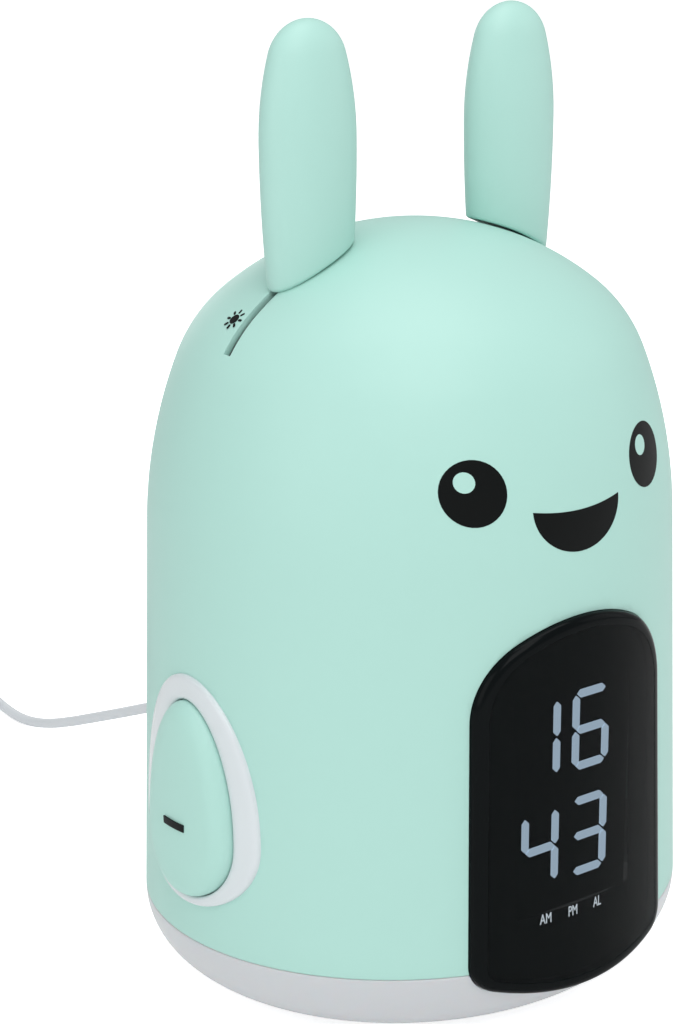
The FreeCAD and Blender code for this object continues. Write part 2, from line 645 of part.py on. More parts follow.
def make_side_keys():
    inner_wall = z.shell_wall + z.slip_gap
    flange_back = inner_wall + z.key_flange_thickness
    rim = ring_egg(0, INSIDE, FAR).common(side_cone(z.key_ring_proud, 5, side_top.z))
    rim = rim.cut(side_cone(-flange_back, 4, side_top.z + 1))
    flange = ring_egg(-z.key_flange_lap, INSIDE, FAR)
    flange = flange.common(side_cone(-inner_wall, 5, side_top.z))
    flange = flange.cut(side_cone(-flange_back, 4, side_top.z + 1))
    board_out = z.key_board_place + z.board_thickness
    posts = [rod(z.post_radius, VEC(board_out, y, height), VEC(side_radius(height) - inner_wall - 1,
                                                               y, height))
             for y, height in key_posts()]
    behind_wall = side_cone(-inner_wall - z.slip_gap, 5, side_top.z)
    ring = joined([rim, flange] + [post.common(behind_wall) for post in posts])
    ring = ring.cut(key_egg(0, INSIDE, FAR))
    rings = both_sides(ring)

    dome_shape = Part.makeSphere(1)
    matrix = FreeCAD.Matrix()
    matrix.scale(z.key_dome_rise, z.key_dome_width, z.key_dome_length)
    matrix.move(VEC(z.key_dome_start, 0, z.key_dome_middle))
    outer_dome = dome_shape.transformGeometry(matrix)
    inner_matrix = FreeCAD.Matrix()
    inner_matrix.scale(z.key_dome_rise - z.key_wall, z.key_dome_width - z.key_wall,
                       z.key_dome_length - z.key_wall)
    inner_matrix.move(VEC(z.key_dome_start, 0, z.key_dome_middle))
    hollow = dome_shape.transformGeometry(inner_matrix)
    hollow = hollow.common(key_egg(z.key_wall, INSIDE, FAR))
    skirt = key_egg(z.fit_gap, z.key_skirt_start, z.key_dome_start)
    skirt_room = key_egg(z.key_wall, z.key_skirt_start - 1, z.key_dome_start)
    cap = outer_dome.common(key_egg(z.fit_gap, z.key_dome_start, FAR))
    key = joined([cap, skirt]).cut([hollow, skirt_room])
    stem_end = z.key_board_place + z.board_thickness + z.switch_height + z.fit_gap + z.key_travel
    stem = rod(z.key_stem_radius, VEC(stem_end, 0, z.mark_height),
               VEC(z.key_dome_start + z.key_dome_rise - 0.6 * z.key_wall, 0, z.mark_height))
    web = block((z.key_skirt_start, -z.key_half_width, z.mark_height - z.key_wall / 2),
                (z.key_dome_start, z.key_half_width, z.mark_height + z.key_wall / 2))
    keys = both_sides(joined([key, stem, web.common(key_egg(z.fit_gap, 0, FAR))]))

    reach = z.key_dome_start + z.key_dome_rise
    bar = block((reach - 3, -z.mark_length / 2, z.mark_height - z.mark_width / 2),
                (reach + 3, z.mark_length / 2, z.mark_height + z.mark_width / 2))
    post = block((reach - 3, -z.mark_width / 2, z.mark_height - z.mark_length / 2),
                 (reach + 3, z.mark_width / 2, z.mark_height + z.mark_length / 2))
    skin_matrix = FreeCAD.Matrix()
    skin_matrix.scale(z.key_dome_rise + z.mark_thickness, z.key_dome_width + z.mark_thickness,
                      z.key_dome_length + z.mark_thickness)
    skin_matrix.move(VEC(z.key_dome_start, 0, z.key_dome_middle))
    skin = dome_shape.transformGeometry(skin_matrix).cut(outer_dome)
    marks = {"minus": both_sides(skin.common(bar))["minus"],
             "plus": skin.common(joined([bar, post]))}

    switches = []
    for name, sign in (("minus", -1), ("plus", 1)):
        keep("key_ring_" + name, rings[name])
        keep("key_" + name, keys[name])
        keep(name + "_mark", marks[name])
        board = bound("Box", "key_board_" + name, Length="sizes.board_thickness",
                      Width="sizes.key_board_width", Height="sizes.key_board_length")
        edge = "sizes.key_board_place" if sign > 0 else "-sizes.key_board_place - sizes.board_thickness"
        place(board, edge, "-sizes.key_board_width / 2",
              "sizes.mark_height - sizes.key_board_length / 2")
        final(board, "key_board_" + name)
        half = z.switch_width / 2
        base = z.key_board_place + z.board_thickness
        body = block((base, -half, z.mark_height - half),
                     (base + z.switch_height * 0.6, half, z.mark_height + half))
        button = rod(half * 0.55, VEC(base, 0, z.mark_height),
                     VEC(base + z.switch_height, 0, z.mark_height))
        switch = body.fuse(button).removeSplitter()
        switches.append(both_sides(switch)[name])
    keep("key_switches", Part.makeCompound(switches))


def key_posts():
    reach = z.key_board_width / 2 - z.post_radius - 0.5
    high = z.mark_height + z.key_board_length / 2 - z.post_radius - 2
    low = z.mark_height - z.key_board_length / 2 + z.post_radius + 2
    return [(y * reach, height) for y in (-1, 1) for height in (low, high)]


def ear_profile(inset):
    """Solid of revolution about the ear's own axis, squeezed in Y."""
    tip_mid = z.ear_top - z.ear_tip_radius
    drop = tip_mid - z.ear_widest
    half, tip = z.ear_half_width, z.ear_tip_radius
    side = (drop ** 2 + half ** 2 - tip ** 2) / (2 * (half - tip))
    lean = math.atan2(drop, side - half)
    tip_arc, apex, shoulder = arc_on(VEC(0, 0, tip_mid), tip - inset, 0, 90 - math.degrees(lean))
    side_arc, _, widest = arc_on(VEC(half - side, 0, z.ear_widest), side - inset,
                                 90 - math.degrees(lean), 90)
    low = crown_centre.z + z.crown_radius * 0.6
    sweep = math.degrees(math.asin((z.ear_widest - low) / z.ear_taper_radius))
    taper, _, base = arc_on(VEC(half - z.ear_taper_radius, 0, z.ear_widest),
                            z.ear_taper_radius - inset, 90, 90 + sweep)
    middle = VEC(0, 0, base.z)
    wire = Part.Wire([tip_arc, side_arc, taper, Part.makeLine(base, middle),
                      Part.makeLine(middle, apex)])
    solid = Part.Face(wire).revolve(VEC(), UP, 360)
    matrix = FreeCAD.Matrix()
    matrix.scale(1, z.ear_depth_ratio, 1)
    matrix.move(VEC(z.ear_place, 0, 0))
    return solid.transformGeometry(matrix)


def crown_ball(extra):
    ball = Part.makeSphere(z.crown_radius + extra, crown_centre)
    return squeezed(ball)


def make_ears():
    plate_low = z.ear_gap + z.slip_gap
    plate_high = plate_low + z.ear_plate_thickness
    outer = ear_profile(0).cut(crown_ball(z.ear_gap))
    shell = outer.cut(ear_profile(z.ear_wall))
    inner = ear_profile(z.ear_wall + z.slip_gap)
    plate = inner.common(crown_ball(plate_high)).cut(crown_ball(plate_low))
    blade = sector(z.slider_outer - 1, z.crown_radius + plate_high - 1, z.stem_thickness,
                   ear_angle - z.stem_half_angle, ear_angle + z.stem_half_angle)
    stem = joined([plate, blade])
    slider = sector(z.slider_inner, z.slider_outer, z.slider_width,
                    ear_angle - z.slider_half_angle, ear_angle + z.slider_half_angle)
    pocket = sector(z.slider_outer - 1 - z.slip_gap / 3, z.slider_outer + 1, z.stem_thickness + 0.1,
                    ear_angle - z.stem_half_angle - 0.1, ear_angle + z.stem_half_angle + 0.1)
    turn = math.radians(ear_angle)
    aim = VEC(math.sin(turn), 0, math.cos(turn))
    hole = rod(z.ear_screw_radius, crown_centre + aim * (z.slider_inner - 1),
               crown_centre + aim * (z.slider_outer + 1))
    slider = slider.cut([pocket, hole])
    screw_low = crown_centre + aim * (z.slider_inner - z.screw_head_height * 0.1)
    bolt = rod(z.ear_screw_radius - 0.05, screw_low + aim * 0.5,
               crown_centre + aim * (z.slider_outer - 1.2))
    walls_low = z.guide_floor_inner
    first = ear_angle - z.slider_half_angle - 3
    stop = tilted_angle + z.slider_half_angle
    last = stop + z.stop_angle
    floor = sector(walls_low, z.guide_floor_outer, z.guide_width, first, last)
    channel = sector(walls_low, z.crown_radius, z.guide_width, first, last)
    channel = channel.cut(sector(walls_low - 1, z.crown_radius + 1,
                                 z.guide_width - 2 * z.guide_wall, first - 1, last + 1))
    stops = sector(walls_low, z.slider_outer, z.guide_width, stop, last)
    start_stop = sector(walls_low, z.slider_outer, z.guide_width, first, first + 2)
    guide = joined([floor, channel, stops, start_stop])
    guide = guide.common(dome(z.shell_wall + z.slip_gap, z.seam_height))
    switch = block((-3, -4, -6), (3, 4, 0.5))
    switch.rotate(VEC(), VEC(0, 1, 0), ear_angle + z.ear_tilt / 2)
    middle = math.radians(ear_angle + z.ear_tilt / 2)
    switch.translate(crown_centre + VEC(math.sin(middle), 0, math.cos(middle)) * walls_low)
    switch = switch.cut(Part.makeCylinder(z.crown_radius + 20, 60, crown_centre - VEC(0, 30, 0),
                                          VEC(0, 1, 0)).cut(
        Part.makeCylinder(walls_low, 60, crown_centre - VEC(0, 30, 0), VEC(0, 1, 0))))
    switches = []
    names = {"plus": "right", "minus": "left"}
    for piece, shape in (("shell", shell), ("stem", stem), ("slider", slider), ("screw", bolt),
                         ("guide", guide)):
        for side, solid in both_sides(shape).items():
            keep("ear_%s_%s" % (names[side], piece), solid)
    for solid in both_sides(switch).values():
        switches.append(solid)
    keep("ear_switches", Part.makeCompound(switches))


def make_rear():
    panel = rear_prism(0).common(side_cone(rear_proud, 5, side_top.z))
    panel = panel.cut(side_cone(-z.shell_wall, 4, side_top.z + 1))
    lip_back = z.shell_wall + z.rear_lip_thickness
    behind = [side_cone(-lip_back, 4, side_top.z + 1), rear_prism(z.rear_frame)]
    lip = rear_prism(-z.rear_lap).common(side_cone(-z.shell_wall - z.slip_gap, 5, side_top.z))
    lip = lip.cut(behind)
    bridge = rear_prism(0).common(side_cone(-z.shell_wall + 0.5, 5, side_top.z)).cut(behind)
    holes = []
    for x in rear_key_places():
        holes.append(Part.makeCylinder(z.rear_key_radius + z.fit_gap / 2, FAR, VEC(x, 0, z.rear_key_height),
                                       VEC(0, 1, 0)))
    for x, height in grille_places():
        holes.append(Part.makeCylinder(z.grille_hole_radius, FAR, VEC(x, 0, height), VEC(0, 1, 0)))
    holes.append(Part.makeCylinder(z.inlet_radius + z.slip_gap, FAR, VEC(0, 0, z.inlet_height),
                                   VEC(0, 1, 0)))
    board_out = z.rear_board_place
    front_of_panel = side_cone(-z.shell_wall / 2, 5, side_top.z)
    posts = [rod(z.rear_post_radius, VEC(side * z.rear_post_place, board_out, z.rear_key_height),
                 VEC(side * z.rear_post_place, FAR, z.rear_key_height)).common(front_of_panel)
             for side in (-1, 1)]
    keep("rear_panel", joined([panel, bridge, lip] + posts).cut(holes))

    board = bound("Box", "rear_board_box", Length="sizes.rear_board_width",
                  Width="sizes.board_thickness", Height="sizes.rear_board_height")
    place(board, "-sizes.rear_board_width / 2", "sizes.rear_board_place - sizes.board_thickness",
          "sizes.rear_key_height - sizes.rear_board_height / 2")
    final(board, "rear_key_board")
    switches = []
    for number, x in enumerate(rear_key_places(), start=1):
        surface = z.depth_ratio * math.sqrt(side_radius(z.rear_key_height, rear_proud) ** 2 - x ** 2)
        inside = z.depth_ratio * math.sqrt(side_radius(z.rear_key_height, -lip_back) ** 2
                                           - (abs(x) + z.rear_key_radius) ** 2)
        flange_top = inside - z.fit_gap - z.slip_gap
        height = z.switch_height
        low = board_out + height + z.fit_gap + z.rear_key_travel
        along = VEC(0, 1, 0)
        cap = Part.makeCylinder(z.rear_key_radius, surface + z.rear_key_proud - flange_top + 1,
                                VEC(x, flange_top - 1, z.rear_key_height), along)
        cap = cap.makeFillet(0.8, [edge for edge in cap.Edges
                                   if edge.BoundBox.YMin > surface + z.rear_key_proud - 0.1])
        flange = Part.makeCylinder(z.rear_key_radius + z.rear_flange_lap, 1.2,
                                   VEC(x, flange_top - 1.2, z.rear_key_height), along)
        stem = Part.makeCylinder(1.5, flange_top - low, VEC(x, low, z.rear_key_height), along)
        keep("rear_key_%d" % number, joined([cap, flange, stem]))
        half = z.switch_width / 2
        body = block((x - half, board_out, z.rear_key_height - half),
                     (x + half, board_out + height * 0.6, z.rear_key_height + half))
        button = Part.makeCylinder(half * 0.55, height, VEC(x, board_out, z.rear_key_height), along)
        switches.append(body.fuse(button).removeSplitter())
    keep("rear_switches", Part.makeCompound(switches))

    along = VEC(0, 1, 0)
    front = z.speaker_front
    basket = Part.makeCone(z.speaker_magnet, z.speaker_radius, z.speaker_depth * 0.5,
                           VEC(0, front - z.speaker_depth * 0.6, z.grille_height), along)
    rim = Part.makeCylinder(z.speaker_radius, z.speaker_depth * 0.1,
                            VEC(0, front - z.speaker_depth * 0.1, z.grille_height), along)
    magnet = Part.makeCylinder(z.speaker_magnet, z.speaker_depth * 0.4,
                               VEC(0, front - z.speaker_depth, z.grille_height), along)
    keep("speaker", joined([basket, rim, magnet]))
    outer = Part.makeCylinder(z.speaker_radius + 2, 6, VEC(0, front - 1, z.grille_height), along)
    hollow = Part.makeCylinder(z.speaker_radius - 1.5, 20, VEC(0, front - 5, z.grille_height), along)
    seat = Part.makeCylinder(z.speaker_radius + z.slip_gap, 1 + z.slip_gap,
                             VEC(0, front - 1, z.grille_height), along)
    gasket = outer.cut([hollow, seat]).common(side_cone(-z.shell_wall - z.slip_gap, 5, side_top.z))
    frame_room = rear_prism(-z.rear_lap).cut(rear_prism(z.rear_frame + z.slip_gap))
    keep("speaker_gasket", gasket.cut(frame_room))


def rear_key_places():
    return [z.rear_key_pitch * (number - 1.5) for number in range(4)]


def grille_places():
    spots = []
    rings = int(z.grille_rings)
    for row in range(-rings, rings + 1):
        count = 2 * rings + 1 - abs(row)
        for column in range(count):
            spots.append(((column - (count - 1) / 2) * z.grille_pitch,
                          z.grille_height + row * z.grille_pitch * math.sqrt(3) / 2))
    return spots


def make_power():
    along = VEC(0, 1, 0)
    start = z.inlet_face - z.inlet_length
    barrel = Part.makeCylinder(z.inlet_radius, z.inlet_length, VEC(0, start, z.inlet_height), along)
    box = block((-7, start, z.inlet_height - 5.5), (7, z.inlet_face - 6, z.inlet_height + 5.5))
    inside = side_cone(-z.shell_wall - 1.9, 5, side_top.z)
    bore = Part.makeCylinder(z.inlet_bore, z.inlet_length, VEC(0, start + 2, z.inlet_height), along)
    keep("power_inlet", joined([barrel, box.common(inside)]).cut(bore))
    pin = Part.makeCylinder(z.inlet_bore - z.slip_gap, z.inlet_length - 4,
                            VEC(0, start + 4, z.inlet_height), along)
    grip_start = z.inlet_face + 1
    link = Part.makeCylinder(z.inlet_bore - z.slip_gap, 1.5, VEC(0, z.inlet_face - 0.5, z.inlet_height),
                             along)
    grip = Part.makeCylinder(z.plug_radius, z.plug_end - grip_start, VEC(0, grip_start, z.inlet_height),
                             along)
    grip = grip.makeFillet(1.2, [edge for edge in grip.Edges if edge.BoundBox.YMin > z.plug_end - 0.1
                                 or edge.BoundBox.YMax < grip_start + 0.1])
    taper = Part.makeCone(z.plug_radius - 1, z.relief_radius, z.relief_end - z.plug_end + 1.5,
                          VEC(0, z.plug_end - 1.5, z.inlet_height), along)
    keep("power_plug", joined([pin, link, grip, taper]))


# The lead: a hand-picked route to the coil, then the coil itself.

LEAD_ROUTE = [(0, z.relief_end, z.inlet_height), (0, 108, z.inlet_height), (0.4, 120, 27.6), (0.2, 133, 22.2), (-0.3, 147, 16.6),
              (-0.6, 162, 10.6), (-0.2, 177, 5.2), (0.6, 192, 1.8), (2.2, 207, 1.5),
              (5.6, 222, 1.5)]


def rounded_path(points):
    """Straight runs joined by tangent arcs, each as large as its runs allow."""
    path = []
    radii = []
    start = points[0]
    for before, corner, after in zip(points, points[1:], points[2:]):
        arriving = corner.sub(before)
        leaving = after.sub(corner)
        turn = arriving.getAngle(leaving)
        cut = 0.45 * min(arriving.Length, leaving.Length)
        radius = cut / math.tan(turn / 2)
        radii.append(radius)
        arriving.normalize()
        leaving.normalize()
        first = corner - arriving * cut
        last = corner + leaving * cut
        inward = leaving.sub(arriving)
        inward.normalize()
        middle = corner + inward * (radius / math.cos(turn / 2) - radius)
        path.append(Part.LineSegment(start, first).toShape())
        path.append(Part.Arc(first, middle, last).toShape())
        start = last
    path.append(Part.LineSegment(start, points[-1]).toShape())
    return path, radii


def tube(path, start, heading):
    spine = Part.Wire(path)
    circle = Part.Wire([Part.makeCircle(z.cord_diameter / 2, start, heading)])
    swept = spine.makePipeShell([circle], True, False)
    expected = math.pi * (z.cord_diameter / 2) ** 2 * spine.Length
    print("tube length %.1f, volume against section times length %.4f"
          % (spine.Length, swept.Volume / expected))
    return swept


def coil_turns():
    """Turns in each of the four layers; the last quarter lets the end leave to -X."""
    return [2.75, 2.5, 2.5, 2.5]


def coil_point(angle):
    """Point and heading on the coil: spirals in and out, climbs at each reversal."""
    per_radian = z.coil_pitch / (2 * math.pi)
    limits = [0]
    for turns in coil_turns():
        limits.append(limits[-1] + turns * 2 * math.pi)
    half = math.pi / 2
    radius = z.coil_inner + coil_turns()[0] * z.coil_pitch
    height = z.cord_diameter / 2
    slope = -per_radian
    rise = 0.0
    done = 0.0
    for number, limit in enumerate(limits[1:-1], start=1):
        low, high = limit - half, limit + half
        if angle <= low:
            break
        radius += slope * (low - done)
        share = min(1.0, (angle - low) / (high - low))
        span = share * (high - low)
        radius += slope * span - slope * span * span / (high - low)
        height += z.coil_step * (3 * share ** 2 - 2 * share ** 3)
        if angle < high:
            rise = z.coil_step * 6 * share * (1 - share) / (high - low)
            slope = slope * (1 - 2 * share)
            done = angle
            break
        slope = -slope
        done = high
    radius += slope * (angle - done)
    x, y = math.cos(angle), math.sin(angle)
    point = VEC(z.coil_x + radius * x, z.coil_y + radius * y, height)
    heading = VEC(slope * x - radius * y, slope * y + radius * x, rise)
    heading.normalize()
    return point, heading


def biarc(start, out, end, onto):
    """Two tangent arcs between two points with given headings."""
    chord = end.sub(start)
    both = out + onto
    lack = 2 * (1 - out.dot(onto))
    if lack < 1e-9:
        reach = chord.dot(chord) / (4 * chord.dot(onto))
    else:
        along = chord.dot(both)
        reach = (-along + math.sqrt(along * along + lack * chord.dot(chord))) / lack
    knee = (start + out * reach + end - onto * reach) * 0.5
    arcs = []
    for first, last, heading in ((start, knee, out), (knee, end, None)):
        span = last.sub(first)
        if heading is None:
            heading = onto
            normal = span - onto * span.dot(onto)
            normal = normal * -1
        else:
            normal = span - heading * span.dot(heading)
        if normal.Length < 1e-6:
            arcs.append(Part.LineSegment(first, last).toShape())
            continue
        normal.normalize()
        radius = span.dot(span) / (2 * abs(span.dot(normal)))
        centre = (first if heading is out else last) + normal * radius
        outward = (first + last) * 0.5 - centre
        outward.normalize()
        arcs.append(Part.Arc(first, centre + outward * radius, last).toShape())
    return arcs


def make_coil():
    total = sum(coil_turns()) * 2 * math.pi
    quarters = int(round(total / (math.pi / 2)))
    path = []
    point, heading = coil_point(0)
    start, start_heading = point, heading
    for number in range(1, quarters + 1):
        after, onto = coil_point(number * math.pi / 2)
        path += biarc(point, heading, after, onto)
        point, heading = after, onto
    grip_middle = z.grip_height / 2
    away = VEC(-1, 0, 0)
    landing = VEC(point.x - 26, point.y, grip_middle)
    path += biarc(point, heading, landing, away)
    end = landing + away * z.cord_diameter
    path.append(Part.LineSegment(landing, end).toShape())
    lead_in = start - start_heading * z.cord_diameter
    path.insert(0, Part.LineSegment(lead_in, start).toShape())
    keep("cord_coil", tube(path, lead_in, start_heading))
    samples = [coil_point(total * step / 1200)[0] for step in range(1201)]
    apart = int(1200 * 0.5 / sum(coil_turns()))
    least = min(samples[one].distanceToPoint(samples[other])
                for one in range(len(samples)) for other in range(one + apart, len(samples)))
    print("least gap between turns %.2f" % (least - z.cord_diameter))

    route = [VEC(*spot) for spot in LEAD_ROUTE] + [lead_in]
    lead_path, radii = rounded_path(route)
    print("lead radii", ["%.0f" % radius for radius in radii])
    keep("cord_lead", tube(lead_path, route[0], route[1].sub(route[0])))
    return end


def make_usb(cord_end):
    half_wide, half_tall = z.grip_width / 2, z.grip_height / 2
    x, y = cord_end.x, cord_end.y
    grip = block((x - z.grip_length, y - half_wide, 0), (x, y + half_wide, z.grip_height))
    lengthwise = [edge for edge in grip.Edges
                  if abs(edge.Vertexes[0].X - edge.Vertexes[1].X) > 1]
    keep("usb_grip", grip.makeFillet(1.6, lengthwise))
    front = x - z.grip_length
    middle = half_tall
    shell = block((front - z.usb_length, y - z.usb_width / 2, middle - z.usb_height / 2),
                  (front, y + z.usb_width / 2, middle + z.usb_height / 2))
    room = block((front - z.usb_length - 1, y - z.usb_width / 2 + z.usb_wall,
                  middle - z.usb_height / 2 + z.usb_wall),
                 (front, y + z.usb_width / 2 - z.usb_wall,
                  middle + z.usb_height / 2 - z.usb_wall))
    keep("usb_shell", shell.cut(room))
    inner_half = z.usb_width / 2 - z.usb_wall - 0.05
    top = middle + z.usb_height / 2 - z.usb_wall - 0.05
    keep("usb_tongue", block((front - z.usb_length + 0.6, y - inner_half, top - z.tongue_thickness),
                             (front, y + inner_half, top)))


make_body_shell()
make_base()
make_feet()
make_chassis()
make_boards()
make_cell()
make_display()
make_digits()
make_side_keys()
make_ears()
make_rear()
make_power()
make_usb(make_coil())

DOC.recompute()
problems = []
for item in DOC.Objects:
    if "Invalid" in item.State or "Error" in item.State:
        problems.append("%s is %s" % (item.Name, item.State))
for name, item in NODES.items():
    if item.Shape.isNull() or not item.Shape.isValid() or not item.Shape.Solids:
        problems.append("%s has no valid shape" % name)
if problems:
    raise SystemExit("\n".join(problems))
os.makedirs("parts", exist_ok=True)
for name, item in NODES.items():
    item.Shape.exportStep(os.path.join("parts", name + ".step"))
print(len(NODES), "sub-parts")
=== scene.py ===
import math

import bmesh
import bpy
from mathutils import Matrix, Vector


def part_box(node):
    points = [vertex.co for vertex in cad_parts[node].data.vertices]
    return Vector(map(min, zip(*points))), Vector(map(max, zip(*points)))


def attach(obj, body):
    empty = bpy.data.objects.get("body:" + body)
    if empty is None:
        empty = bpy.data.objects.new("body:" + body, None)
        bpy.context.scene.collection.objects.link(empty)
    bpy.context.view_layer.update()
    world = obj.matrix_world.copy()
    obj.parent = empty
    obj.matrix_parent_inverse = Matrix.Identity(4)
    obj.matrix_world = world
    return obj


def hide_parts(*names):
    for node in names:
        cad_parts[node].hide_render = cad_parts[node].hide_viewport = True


bl_info = {
    "name": "Eared alarm clock",
    "version": (1, 0, 0),
    "blender": (4, 5, 0),
    "location": "View3D > Sidebar > Clock",
    "description": "Dresses the packed bedside clock: shell, ears, display, keys and lead",
    "category": "Object",
}

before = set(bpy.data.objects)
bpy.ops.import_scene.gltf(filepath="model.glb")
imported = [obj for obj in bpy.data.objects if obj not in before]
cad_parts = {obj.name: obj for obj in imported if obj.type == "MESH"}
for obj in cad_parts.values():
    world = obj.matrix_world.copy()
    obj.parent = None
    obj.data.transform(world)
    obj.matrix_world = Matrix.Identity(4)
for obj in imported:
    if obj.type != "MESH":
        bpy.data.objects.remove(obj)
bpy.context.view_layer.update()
MM = 0.001


def corner(node, end, axis):
    """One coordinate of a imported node's box: end 0 is its low corner, 1 its high one."""
    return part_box(node)[end][axis]


def length(name, description, default):
    """Property for a length in metres."""
    return bpy.props.FloatProperty(name=name, description=description, default=default,
                                   unit="LENGTH")


def plain(name, description, default):
    """Property for an angle in degrees or a ratio."""
    return bpy.props.FloatProperty(name=name, description=description, default=default)


def colour(name, description, default):
    """Property for a linear base colour."""
    return bpy.props.FloatVectorProperty(name=name, description=description, default=default,
                                         subtype="COLOR", size=3)


class ClockSizes(bpy.types.PropertyGroup):
    """Sizes in metres and degrees; the frame gives those that its boxes hold."""
    body_height: length("Body height", "Table to the top of the dome",
                        corner("body_shell", 1, 2))
    crown_radius: length("Crown radius", "Radius of the top of the dome", 74.5 * MM)
    crown_angle: plain("Crown angle", "Where the crown meets the shoulder", 38.1)
    shoulder_radius: length("Shoulder radius", "Radius of the shoulder", 36 * MM)
    shoulder_angle: plain("Shoulder angle", "Where the shoulder meets the haunch", 68)
    haunch_radius: length("Haunch radius", "Radius above the drafted side", 115 * MM)
    side_draft: plain("Draft", "Lean of the side wall", 2)
    depth_ratio: plain("Depth ratio", "Depth of the oval body over its width", 0.93)
    seam_height: length("Seam height", "Table to the joint of shell and lit base", 21.4 * MM)
    shell_wall: length("Shell wall", "Thickness of the shell", 1.6 * MM)
    ear_tip_radius: length("Ear tip radius", "Radius of an ear's top", 10.3 * MM)
    ear_widest: length("Widest ear height", "Height at which an ear is widest", 207.6 * MM)
    ear_taper_radius: length("Ear taper radius", "Radius of an ear's side below its widest place",
                             347 * MM)
    ear_gap: length("Ear gap", "Clearance between an ear and the crown", 0.45 * MM)
    slot_width: length("Slot width", "Width of the slot that an ear runs in", 2.6 * MM)
    slot_end_angle: plain("Slot end", "Angle of the slot's low end from the crown's top", 47)
    pod_proud: length("Pod proud", "How far the display stands out of the side wall", 2 * MM)
    pod_rim: length("Pod rim", "Width of the glossy rim round the lens", 3 * MM)
    ring_proud: length("Key ring proud", "How far a key's ring stands out", 1.2 * MM)
    cord_diameter: length("Lead diameter", "Diameter of the lead", 3 * MM)


class ClockColours(bpy.types.PropertyGroup):
    """Base colours, linear."""
    mint: colour("Mint", "Shell, ears and keys", (0.428, 0.700, 0.632))
    ring: colour("Ring white", "Rings round the side keys", (0.66, 0.71, 0.735))
    base: colour("Base white", "Translucent lit base", (0.44, 0.46, 0.485))
    black: colour("Bezel black", "Glossy display bezel", (0.0028, 0.0042, 0.0046))
    digits: colour("Digit light", "Light of the digits", (0.42, 0.55, 0.68))
    print_black: colour("Print black", "Printed face and marks", (0.004, 0.005, 0.005))
    cord: colour("Lead white", "Lead and plugs", (0.66, 0.69, 0.72))


def sizes():
    return bpy.context.scene.clock_sizes


def colours():
    return bpy.context.scene.clock_colours


# Surface of the body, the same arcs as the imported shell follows.

ARC_ROWS = (36, 24, 22)
SIDE_ROWS = 30
FEWEST_ROWS = 3


class BodySurface:
    """Profile of the oval body: crown, shoulder, haunch and drafted side."""

    def __init__(self, size):
        self.squeeze = size.depth_ratio
        self.height = size.body_height
        crown_mid = size.body_height - size.crown_radius
        self.crown = (0.0, crown_mid, size.crown_radius, 0.0, math.radians(size.crown_angle))
        self.shoulder = self.next_arc(self.crown, size.shoulder_radius,
                                      math.radians(size.shoulder_angle))
        self.haunch = self.next_arc(self.shoulder, size.haunch_radius,
                                    math.radians(90 - size.side_draft))
        self.draft = math.radians(size.side_draft)
        middle_x, middle_z, radius = self.haunch[:3]
        self.side_x = middle_x + radius * math.cos(self.draft)
        self.side_z = middle_z + radius * math.sin(self.draft)

    @staticmethod
    def next_arc(before, radius, last):
        x, z, old, _, turn = before
        move = old - radius
        return (x + move * math.sin(turn), z + move * math.cos(turn), radius, turn, last)

    def side_radius(self, height, proud=0.0):
        lean = (self.side_z - height) * math.tan(self.draft)
        return self.side_x + proud / math.cos(self.draft) + lean

    def radius_at(self, height, proud=0.0):
        """Half width at a height for the surface moved out by proud."""
        for x, z, radius, first, last in (self.crown, self.shoulder, self.haunch):
            grown = radius + proud
            if height >= z + grown * math.cos(last):
                return x + math.sqrt(max(grown ** 2 - (height - z) ** 2, 0.0))
        return self.side_radius(height, proud)

    def front(self, x, height, proud=0.0, sign=-1):
        """Point of the front (sign -1) or back (1) with that x and height."""
        radius = self.radius_at(height, proud)
        y = self.squeeze * math.sqrt(max(radius ** 2 - x ** 2, 0.0))
        return Vector((x, sign * y, height))

    def pod(self, x, height, proud):
        """Point of the front on the side wall carried on below the seam."""
        radius = self.side_radius(height, proud)
        return Vector((x, -self.squeeze * math.sqrt(radius ** 2 - x ** 2), height))

    def flank(self, y, height, proud, sign):
        """Point of the side with that y and height, at -X or +X."""
        radius = self.radius_at(height, proud)
        return Vector((sign * math.sqrt(radius ** 2 - (y / self.squeeze) ** 2), y, height))

    def outline(self, inset, low, fineness=1.0):
        """Profile points (radius, height) from the apex down to a height."""
        points = []
        arcs = (self.crown, self.shoulder, self.haunch)
        for (x, z, radius, first, last), rows in zip(arcs, ARC_ROWS):
            points += arc_points(x, z, radius - inset, first, last,
                                 max(FEWEST_ROWS, int(rows * fineness)))
        rows = max(FEWEST_ROWS, int(SIDE_ROWS * fineness))
        top = self.side_z - inset * math.sin(self.draft)
        for step in range(rows + 1):
            height = top + (low - top) * step / rows
            points.append((self.side_radius(height, -inset), height))
        return points


# Mesh helpers.

WELD = 1e-7


def linked(name, data):
    """New object with that data, in the scene."""
    piece = bpy.data.objects.new(name, data)
    bpy.context.scene.collection.objects.link(piece)
    return piece


def smoothed(mesh):
    mesh.polygons.foreach_set("use_smooth", [True] * len(mesh.polygons))


def mesh_object(name, points, faces, material=None, smooth=True):
    """Piece from points and faces, welded and with its faces outward."""
    mesh = bpy.data.meshes.new(name)
    mesh.from_pydata([tuple(point) for point in points], [], faces)
    mesh.validate()
    body = bmesh.new()
    body.from_mesh(mesh)
    bmesh.ops.remove_doubles(body, verts=body.verts, dist=WELD)
    bmesh.ops.recalc_face_normals(body, faces=body.faces)
    body.to_mesh(mesh)
    body.free()
    if material:
        mesh.materials.append(material)
    if smooth:
        smoothed(mesh)
    return linked(name, mesh)


def sharpen(piece, degrees=35):
    piece.data.set_sharp_from_angle(angle=math.radians(degrees))
    return piece


